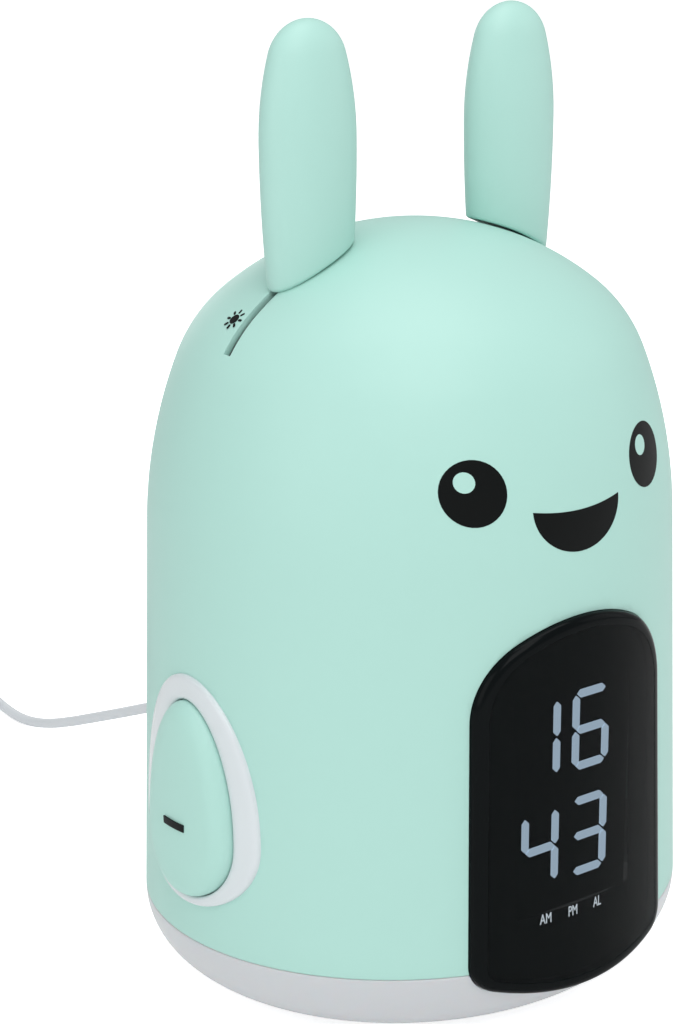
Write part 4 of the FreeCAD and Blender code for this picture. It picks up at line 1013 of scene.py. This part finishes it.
def oval(middle_x, middle_z, half_x, half_z, count=40):
    return [(middle_x + half_x * math.cos(2 * math.pi * step / count),
             middle_z + half_z * math.sin(2 * math.pi * step / count)) for step in range(count)]


def stroke(points, width):
    """Outline of a line of even width with round ends through points."""
    half = width / 2
    left, right = [], []
    for number, (x, z) in enumerate(points):
        before = points[max(number - 1, 0)]
        after = points[min(number + 1, len(points) - 1)]
        run = Vector((after[0] - before[0], after[1] - before[1])).normalized()
        left.append((x - run.y * half, z + run.x * half))
        right.append((x + run.y * half, z - run.x * half))
    caps = []
    for (x, z), (x2, z2) in ((points[-1], points[-2]), (points[0], points[1])):
        run = Vector((x - x2, z - z2)).normalized()
        first = math.atan2(run.y, run.x) + math.pi / 2
        caps.append([(x + half * math.cos(first - math.pi * step / 8),
                      z + half * math.sin(first - math.pi * step / 8)) for step in range(1, 8)])
    return left + caps[0] + list(reversed(right)) + caps[1]


class CLOCK_OT_face(PieceOperator, bpy.types.Operator):
    """Printed eyes and smile, and the small sun beside an ear's slot"""
    bl_idname = "clock.face"
    bl_label = "Face print"

    def build(self, surface, size):
        loops = [oval(side * EYE_X, EYE_Z, EYE_HALF_X, EYE_HALF_Z) for side in (-1, 1)]
        smile = [(SMILE_HALF * math.cos(turn), SMILE_Z - SMILE_DEPTH * math.sin(turn))
                 for turn in (math.pi * step / SMILE_STEPS for step in range(SMILE_STEPS + 1))]
        smile += [(SMILE_HALF * share, SMILE_Z - SMILE_SAG * (1 - share ** 2))
                  for share in (2 * step / LIP_STEPS - 1 for step in range(1, LIP_STEPS))]
        loops.append(smile)
        dark = skin_patch("face_dark", loops, surface.front, PRINT_RISE, finish("face"))
        dress(dark, "body")
        self.sun(surface, size)
        glints = [oval(side * EYE_X - GLINT_SHIFT, GLINT_Z, GLINT_RADIUS, GLINT_RADIUS, GLINT_STEPS)
                  for side in (-1, 1)]
        light = skin_patch("face_light", glints, surface.front, GLINT_RISE, finish("highlight"))
        dress(light, "body")

    @staticmethod
    def sun(surface, size):
        """Small sun beside the slot of the light's ear, laid on the crown."""
        place = math.radians(SUN_ANGLE)
        middle = surface.crown[1]

        def on_crown(run, side, proud):
            turn = place + run / size.crown_radius
            radius = size.crown_radius + proud
            reach = radius * math.sqrt(1 - (side / (surface.squeeze * radius)) ** 2)
            return Vector((-reach * math.sin(turn), side, middle + reach * math.cos(turn)))
        loops = [oval(0, SUN_ACROSS, SUN_RADIUS, SUN_RADIUS, SUN_STEPS)]
        for ray in range(RAYS):
            turn = 2 * math.pi * ray / RAYS
            points = [(reach * math.cos(turn), SUN_ACROSS + reach * math.sin(turn))
                      for reach in RAY_REACHES]
            loops.append(stroke(points, RAY_WIDTH))
        sun = skin_patch("sun_mark", loops, on_crown, PRINT_RISE, finish("face"), SUN_TILE)
        dress(sun, "body")


SIGN_TILE = 3 * MM


class CLOCK_OT_back(PieceOperator, bpy.types.Operator):
    """Signs on the four back keys"""
    bl_idname = "clock.back"
    bl_label = "Back signs"

    def build(self, surface, size):
        for number, sign_loops in enumerate(KEY_SIGNS, 1):
            low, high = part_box("rear_key_%d" % number)
            x, face, z = (low[0] + high[0]) / 2, high[1], (low[2] + high[2]) / 2
            loops = [[(x + across * MM, z + height * MM) for across, height in loop]
                     for loop in sign_loops()]

            def on_key(across, height, proud):
                return Vector((across, face + proud, height))
            sign = skin_patch("back_sign_%d" % number, loops, on_key, PRINT_RISE, finish("face"),
                              SIGN_TILE)
            dress(sign, "back_key_%d" % number)


# Key signs: loops of (across, height) in millimetres from the key's middle.

SIGN_WIDTH = 0.4


def arc_line(radius, first, last, steps, across=0.0):
    """Points of an arc, both ends included; angles in degrees from the right."""
    turns = [math.radians(first + (last - first) * step / steps) for step in range(steps + 1)]
    return [(across + radius * math.cos(turn), radius * math.sin(turn)) for turn in turns]


def bell_sign():
    dome = [(1.3 * math.cos(turn), -0.3 + 1.8 * math.sin(turn))
            for turn in (math.pi * step / 12 for step in range(13))]
    return [dome + [(-1.75, -0.75), (1.75, -0.75)], oval(0, -1.3, 0.42, 0.35, 12)]


def hands_sign():
    ring = [stroke(arc_line(1.6, first + 18, first + 162, 8), SIGN_WIDTH) for first in (0, 180)]
    return ring + [stroke([(0, -0.1), (0, 0.5), (0, 1.0)], SIGN_WIDTH),
                   stroke([(-0.3, 0), (0.3, 0), (0.9, 0)], SIGN_WIDTH)]


def note_sign():
    return [oval(-0.5, -1.1, 0.75, 0.55, 16),
            stroke([(0.15, -1.0), (0.15, 0.2), (0.15, 1.5)], SIGN_WIDTH),
            stroke([(0.3, 1.4), (0.8, 1.1), (1.2, 0.5)], SIGN_WIDTH)]


def moon_sign():
    return [arc_line(1.6, 60, 300, 18) + arc_line(1.4, 268, 92, 14, 0.75)[1:-1]]


KEY_SIGNS = [hands_sign, bell_sign, note_sign, moon_sign]


# The lead's route and coil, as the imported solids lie, in millimetres.

LEAD_ROUTE = [(0, 98, 32), (0, 108, 32), (0.4, 120, 27.6), (0.2, 133, 22.2), (-0.3, 147, 16.6),
              (-0.6, 162, 10.6), (-0.2, 177, 5.2), (0.6, 192, 1.8), (2.2, 207, 1.5),
              (5.6, 222, 1.5)]
COIL_MIDDLE = (-12, 240)
COIL_INNER, COIL_PITCH, COIL_STEP = 13, 3.6, 3.6
COIL_TURNS = (2.75, 2.5, 2.5, 2.5)
POINTS_PER_TURN = 16


def coil_points(cord_radius):
    """Points on the coil in millimetres: in and out, a layer up at each reversal."""
    slope = COIL_PITCH / (2 * math.pi)
    total = sum(COIL_TURNS) * 2 * math.pi
    limits = []
    reached = 0.0
    for turns in COIL_TURNS:
        reached += turns * 2 * math.pi
        limits.append(reached)
    half = math.pi / 2
    count = int(sum(COIL_TURNS) * POINTS_PER_TURN)
    points = []
    for step in range(count + 1):
        angle = total * step / count
        radius = COIL_INNER + COIL_TURNS[0] * COIL_PITCH
        height, rate, done = cord_radius, -slope, 0.0
        for limit in limits[:-1]:
            low = limit - half
            if angle <= low:
                break
            radius += rate * (low - done)
            share = min(1.0, (angle - low) / math.pi)
            span = share * math.pi
            radius += rate * span - rate * span * span / math.pi
            height += COIL_STEP * (3 * share ** 2 - 2 * share ** 3)
            if share < 1:
                rate, done = rate * (1 - 2 * share), angle
                break
            rate, done = -rate, limit + half
        radius += rate * (angle - done)
        points.append((COIL_MIDDLE[0] + radius * math.cos(angle),
                       COIL_MIDDLE[1] + radius * math.sin(angle), height))
    return points


def cord_curve(name, points, radius, material):
    curve = bpy.data.curves.new(name, "CURVE")
    curve.dimensions = "3D"
    curve.bevel_depth = radius
    curve.bevel_resolution = 4
    curve.resolution_u = 6
    curve.use_fill_caps = True
    line = curve.splines.new("NURBS")
    line.points.add(len(points) - 1)
    for spot, (x, y, z) in zip(line.points, points):
        spot.co = (x * MM, y * MM, z * MM, 1)
    line.order_u = 3
    line.use_endpoint_u = True
    curve.materials.append(material)
    return linked(name, curve)


RIM_SIDES, SECTION_SIDES = 40, 10


def ring_tree():
    """Node tree: rings in a row along Y, each a little smaller than the one before."""
    tree = bpy.data.node_groups.new("ring_row", "GeometryNodeTree")
    sockets = {}
    for word, kind in (("Count", "Int"), ("Start", "Vector"), ("End", "Vector"),
                       ("First Radius", "Float"), ("Last Radius", "Float"),
                       ("Thickness", "Float"), ("Material", "Material")):
        socket = tree.interface.new_socket(name=word, in_out="INPUT",
                                           socket_type="NodeSocket" + kind)
        sockets[word] = socket.identifier
    tree.interface.new_socket(name="Geometry", in_out="OUTPUT",
                              socket_type="NodeSocketGeometry")
    made = {word: tree.nodes.new(kind) for word, kind in (
        ("enter", "NodeGroupInput"), ("line", "GeometryNodeMeshLine"),
        ("path", "GeometryNodeCurvePrimitiveCircle"),
        ("section", "GeometryNodeCurvePrimitiveCircle"), ("ring", "GeometryNodeCurveToMesh"),
        ("spread", "GeometryNodeInstanceOnPoints"), ("index", "GeometryNodeInputIndex"),
        ("steps", "ShaderNodeMath"), ("ratio", "ShaderNodeMath"), ("scale", "ShaderNodeMapRange"),
        ("real", "GeometryNodeRealizeInstances"), ("paint", "GeometryNodeSetMaterial"),
        ("leave", "NodeGroupOutput"))}
    made["line"].mode = "END_POINTS"
    made["steps"].operation = "SUBTRACT"
    made["steps"].inputs[1].default_value = 1
    made["ratio"].operation = "DIVIDE"
    made["path"].inputs["Resolution"].default_value = RIM_SIDES
    made["section"].inputs["Resolution"].default_value = SECTION_SIDES
    made["scale"].inputs["To Min"].default_value = 1
    made["spread"].inputs["Rotation"].default_value = (math.pi / 2, 0, 0)
    for source, output, target, socket in (
            ("enter", "Count", "line", "Count"), ("enter", "Start", "line", "Start Location"),
            ("enter", "End", "line", "Offset"), ("enter", "First Radius", "path", "Radius"),
            ("enter", "Thickness", "section", "Radius"), ("path", "Curve", "ring", "Curve"),
            ("section", "Curve", "ring", "Profile Curve"), ("line", "Mesh", "spread", "Points"),
            ("ring", "Mesh", "spread", "Instance"), ("enter", "Count", "steps", 0),
            ("enter", "Last Radius", "ratio", 0), ("enter", "First Radius", "ratio", 1),
            ("index", "Index", "scale", "Value"), ("steps", "Value", "scale", "From Max"),
            ("ratio", "Value", "scale", "To Max"), ("scale", "Result", "spread", "Scale"),
            ("spread", "Instances", "real", "Geometry"), ("real", "Geometry", "paint", "Geometry"),
            ("enter", "Material", "paint", "Material"),
            ("paint", "Geometry", "leave", "Geometry")):
        tree.links.new(made[source].outputs[output], made[target].inputs[socket])
    return tree, sockets


def ring_row(name, values):
    """Row of rings made by the node tree, as a plain mesh."""
    piece = linked(name, bpy.data.meshes.new(name))
    tree, sockets = ring_tree()
    rule = piece.modifiers.new("rings", "NODES")
    rule.node_group = tree
    for word, value in values.items():
        rule[sockets[word]] = value
    piece.update_tag()
    applied(piece)
    body = bmesh.new()
    body.from_mesh(piece.data)
    bmesh.ops.recalc_face_normals(body, faces=body.faces)
    body.to_mesh(piece.data)
    body.free()
    smoothed(piece.data)
    return piece


PLUG_START, PLUG_SHOULDER = 66 * MM, 82 * MM
PLUG_GRIP, PLUG_BARREL, PLUG_CHAMFER = 4.6 * MM, 2.7 * MM, 0.4 * MM
RELIEF_FIRST, RELIEF_LAST, RELIEF_ROUND = 2.75 * MM, 1.85 * MM, 0.3 * MM
RIB_COUNT, RIB_THICKNESS = 8, 0.5 * MM
RIBS_AFTER_SHOULDER, RIBS_BEFORE_END = 1.4 * MM, 1.2 * MM
GRIP_ROWS, GRIP_SIDES, GRIP_POWER = 40, 48, 2 / 5
GRIP_ROUND, GRIP_END_SHARE = 1.5 * MM, 0.86
GROOVE_START, GROOVE_END, GROOVE_DEPTH = 0.55, 0.9, 0.035


class CLOCK_OT_lead(PieceOperator, bpy.types.Operator):
    """Power plug, lead, its coil and the USB plug"""
    bl_idname = "clock.lead"
    bl_label = "Lead"

    def build(self, surface, size):
        radius = size.cord_diameter / 2 / MM
        coil = coil_points(radius)
        last = coil[-1]
        lead_in = (coil[0][0] + 0.3, coil[0][1] - 6, radius)
        grip_mid = (corner("usb_grip", 1, 2) / 2) / MM
        grip_end = corner("usb_grip", 1, 0) / MM
        tail = [(last[0] - 6, last[1], last[2] - 0.3),
                (last[0] - 12, last[1], (last[2] + grip_mid) / 2 + 0.6),
                (grip_end + 7, last[1], grip_mid + 0.3), (grip_end + 3, last[1], grip_mid),
                (grip_end - 2, last[1], grip_mid)]
        route = [(0, corner("power_plug", 1, 1) / MM, LEAD_ROUTE[0][2])] + LEAD_ROUTE[1:]
        lead = cord_curve("lead", route + [lead_in] + coil + tail, size.cord_diameter / 2,
                          finish("cord"))
        dress(lead, "body", ["cord_lead", "cord_coil"])
        plug, ribs = self.power_plug()
        grip = self.usb_grip()

    @staticmethod
    def power_plug():
        """Moulded plug with a ribbed strain relief, along Y."""
        low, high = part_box("power_plug")
        middle_z = (low[2] + high[2]) / 2
        end = high[1]
        outline = [(0, low[1]), (PLUG_BARREL - 0.1 * MM, low[1]),
                   (PLUG_BARREL, low[1] + PLUG_CHAMFER), (PLUG_BARREL, PLUG_START),
                   (PLUG_GRIP - 0.8 * MM, PLUG_START),
                   (PLUG_GRIP - 0.2 * MM, PLUG_START + 0.3 * MM),
                   (PLUG_GRIP, PLUG_START + 1 * MM), (PLUG_GRIP, PLUG_SHOULDER - 2.4 * MM),
                   (PLUG_GRIP - 0.4 * MM, PLUG_SHOULDER - 1 * MM),
                   (PLUG_GRIP - 1.4 * MM, PLUG_SHOULDER),
                   (RELIEF_FIRST, PLUG_SHOULDER + PLUG_CHAMFER), (RELIEF_LAST, end - RELIEF_ROUND),
                   (RELIEF_LAST - 0.2 * MM, end), (0, end)]
        plug = lathe("power_plug_body", outline, 1.0, 48, finish("cord"))
        plug.data.transform(Matrix.Rotation(-math.pi / 2, 4, "X"))
        plug.data.transform(Matrix.Translation((0, 0, middle_z)))
        sharpen(plug, 40)
        dress(plug, "body", ["power_plug"])
        ribs = ring_row("relief_ribs", {
            "Count": RIB_COUNT, "Start": (0, PLUG_SHOULDER + RIBS_AFTER_SHOULDER, middle_z),
            "End": (0, end - RIBS_BEFORE_END, middle_z), "First Radius": RELIEF_FIRST,
            "Last Radius": RELIEF_LAST, "Thickness": RIB_THICKNESS, "Material": finish("cord")})
        dress(ribs, "body")
        return plug, ribs

    @staticmethod
    def usb_grip():
        """Rounded moulded grip of the USB plug, with a finger groove."""
        low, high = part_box("usb_grip")
        middle = [(low[axis] + high[axis]) / 2 for axis in range(3)]
        half_y, half_z = (high[1] - low[1]) / 2, (high[2] - low[2]) / 2
        length = high[0] - low[0]

        def squeeze(share):
            from_end = min(share, 1 - share) * length
            value = 1.0
            if from_end < GRIP_ROUND:
                rise = math.sqrt(max(0.0, 1 - (1 - from_end / GRIP_ROUND) ** 2))
                value = GRIP_END_SHARE + (1 - GRIP_END_SHARE) * rise
            if GROOVE_START < share < GROOVE_END:
                run = (share - GROOVE_START) / (GROOVE_END - GROOVE_START)
                value *= 1 - GROOVE_DEPTH * math.sin(math.pi * run) ** 2
            return value

        def rounded(value):
            return math.copysign(abs(value) ** GRIP_POWER, value)
        turns = [2 * math.pi * side / GRIP_SIDES for side in range(GRIP_SIDES)]
        rows = []
        for share in (step / GRIP_ROWS for step in range(GRIP_ROWS + 1)):
            y, z = half_y * squeeze(share), half_z * squeeze(share)
            rows.append([Vector((low[0] + length * share, middle[1] + rounded(math.cos(turn)) * y,
                                 middle[2] + rounded(math.sin(turn)) * z)) for turn in turns])
        grip = loft("usb_grip_body", rows, finish("cord"), cap_first=True, cap_last=True)
        sharpen(grip, 50)
        dress(grip, "body", ["usb_grip"])
        return grip


# Stage. Lamps: name, place and size in metres, watts.

FLOOR_HALF = 3.0
FLOOR_TONE, FLOOR_ROUGHNESS, FLOOR_SHINE, FLOOR_LIFT = 0.98, 0.9, 0.1, 0.6
WORLD_ON_OBJECT, WORLD_SEEN = 0.49, 1.0
LAMP_TARGET = Vector((0, 0, 0.11))
LAMPS = (
    ("key_lamp", (-0.45, -0.95, 1.1), 0.9, 6.2),
    ("top_lamp", (0.05, -0.15, 1.5), 1.0, 7.5),
    ("fill_lamp", (1.1, -0.7, 0.6), 0.9, 1.5),
    ("side_lamp", (-1.2, -0.2, 0.5), 0.8, 2.5),
    ("back_lamp", (0.5, 1.4, 0.12), 0.7, 1.6),
)
CAMERA_AIM = Vector((0, 0, 0.0923))
CAMERA_BACK = Vector((-0.6007, -0.7322, 0.3210))
CAMERA_DISTANCE = 0.633
CAMERA_LENS, CAMERA_SENSOR = 90.4, 36
CAMERA_SHIFT = (-0.062, 0.0844)


def turned(piece, back):
    """Turns a lamp or camera so that it looks away from a direction."""
    piece.rotation_mode = "QUATERNION"
    piece.rotation_quaternion = back.to_track_quat("Z", "Y")


class CLOCK_OT_stage(PieceOperator, bpy.types.Operator):
    """Pale floor, soft lamps and the camera of the photograph"""
    bl_idname = "clock.stage"
    bl_label = "Stage"

    def build(self, surface, size):
        self.floor()
        self.world()
        self.lamps()
        self.camera()
        bpy.context.scene.view_settings.view_transform = "Standard"

    @staticmethod
    def floor():
        """Plane that looks a little brighter to the camera than its light makes it."""
        half = FLOOR_HALF
        floor = mesh_object("floor", [(-half, -half, 0), (half, -half, 0), (half, half, 0),
                                      (-half, half, 0)], [(0, 1, 2, 3)], smooth=False)
        material = bpy.data.materials.new("floor_paper")
        material.use_nodes = True
        tree = material.node_tree
        shader = tree.nodes["Principled BSDF"]
        for socket, value in (("Base Color", (FLOOR_TONE, FLOOR_TONE, FLOOR_TONE, 1)),
                              ("Roughness", FLOOR_ROUGHNESS), ("Specular IOR Level", FLOOR_SHINE),
                              ("Emission Color", (1, 1, 1, 1))):
            shader.inputs[socket].default_value = value
        path = tree.nodes.new("ShaderNodeLightPath")
        lift = tree.nodes.new("ShaderNodeMath")
        lift.operation = "MULTIPLY"
        lift.inputs[1].default_value = FLOOR_LIFT
        tree.links.new(path.outputs["Is Camera Ray"], lift.inputs[0])
        tree.links.new(lift.outputs[0], shader.inputs["Emission Strength"])
        floor.data.materials.append(material)

    @staticmethod
    def world():
        """White surroundings, dimmer on the object than in the picture."""
        world = bpy.data.worlds.new("studio")
        bpy.context.scene.world = world
        world.use_nodes = True
        tree = world.node_tree
        back = tree.nodes["Background"]
        back.inputs["Color"].default_value = (1, 1, 1, 1)
        path = tree.nodes.new("ShaderNodeLightPath")
        shown = tree.nodes.new("ShaderNodeMath")
        shown.operation = "MAXIMUM"
        tree.links.new(path.outputs["Is Camera Ray"], shown.inputs[0])
        tree.links.new(path.outputs["Is Transmission Ray"], shown.inputs[1])
        strength = tree.nodes.new("ShaderNodeMapRange")
        strength.inputs["To Min"].default_value = WORLD_ON_OBJECT
        strength.inputs["To Max"].default_value = WORLD_SEEN
        tree.links.new(shown.outputs[0], strength.inputs["Value"])
        tree.links.new(strength.outputs["Result"], back.inputs["Strength"])

    @staticmethod
    def lamps():
        for name, place, side, watts in LAMPS:
            data = bpy.data.lights.new(name, "AREA")
            data.size = side
            data.energy = watts
            lamp = linked(name, data)
            lamp.location = place
            turned(lamp, Vector(place) - LAMP_TARGET)

    @staticmethod
    def camera():
        data = bpy.data.cameras.new("photo_camera")
        data.lens = CAMERA_LENS
        data.sensor_width = CAMERA_SENSOR
        data.shift_x, data.shift_y = CAMERA_SHIFT
        data.clip_start = 0.01
        camera = linked("photo_camera", data)
        camera.location = CAMERA_AIM + CAMERA_BACK * CAMERA_DISTANCE
        turned(camera, CAMERA_BACK)
        bpy.context.scene.camera = camera


CLASSES = [ClockSizes, ClockColours]
OPERATORS = [
    CLOCK_OT_inner_finishes, CLOCK_OT_shell, CLOCK_OT_base, CLOCK_OT_pod, CLOCK_OT_labels,
    CLOCK_OT_side_keys, CLOCK_OT_ears, CLOCK_OT_face, CLOCK_OT_back, CLOCK_OT_lead,
    CLOCK_OT_stage,
]


class CLOCK_PT_pieces(bpy.types.Panel):
    """Sidebar panel that lists the pieces of the clock"""
    bl_label = "Alarm clock"
    bl_idname = "CLOCK_PT_pieces"
    bl_space_type = "VIEW_3D"
    bl_region_type = "UI"
    bl_category = "Clock"

    def draw(self, context):
        column = self.layout.column()
        for operator in OPERATORS:
            column.operator(operator.bl_idname)
        for group in (context.scene.clock_sizes, context.scene.clock_colours):
            for name in group.__annotations__:
                column.prop(group, name)


def register():
    for kind in [*CLASSES, *OPERATORS, CLOCK_PT_pieces]:
        bpy.utils.register_class(kind)
    bpy.types.Scene.clock_sizes = bpy.props.PointerProperty(type=ClockSizes)
    bpy.types.Scene.clock_colours = bpy.props.PointerProperty(type=ClockColours)


def unregister():
    del bpy.types.Scene.clock_colours
    del bpy.types.Scene.clock_sizes
    for kind in reversed([*CLASSES, *OPERATORS, CLOCK_PT_pieces]):
        bpy.utils.unregister_class(kind)


def main():
    register()
    for operator in OPERATORS:
        group, name = operator.bl_idname.split(".")
        getattr(getattr(bpy.ops, group), name)()


if __name__ == "__main__":
    main()
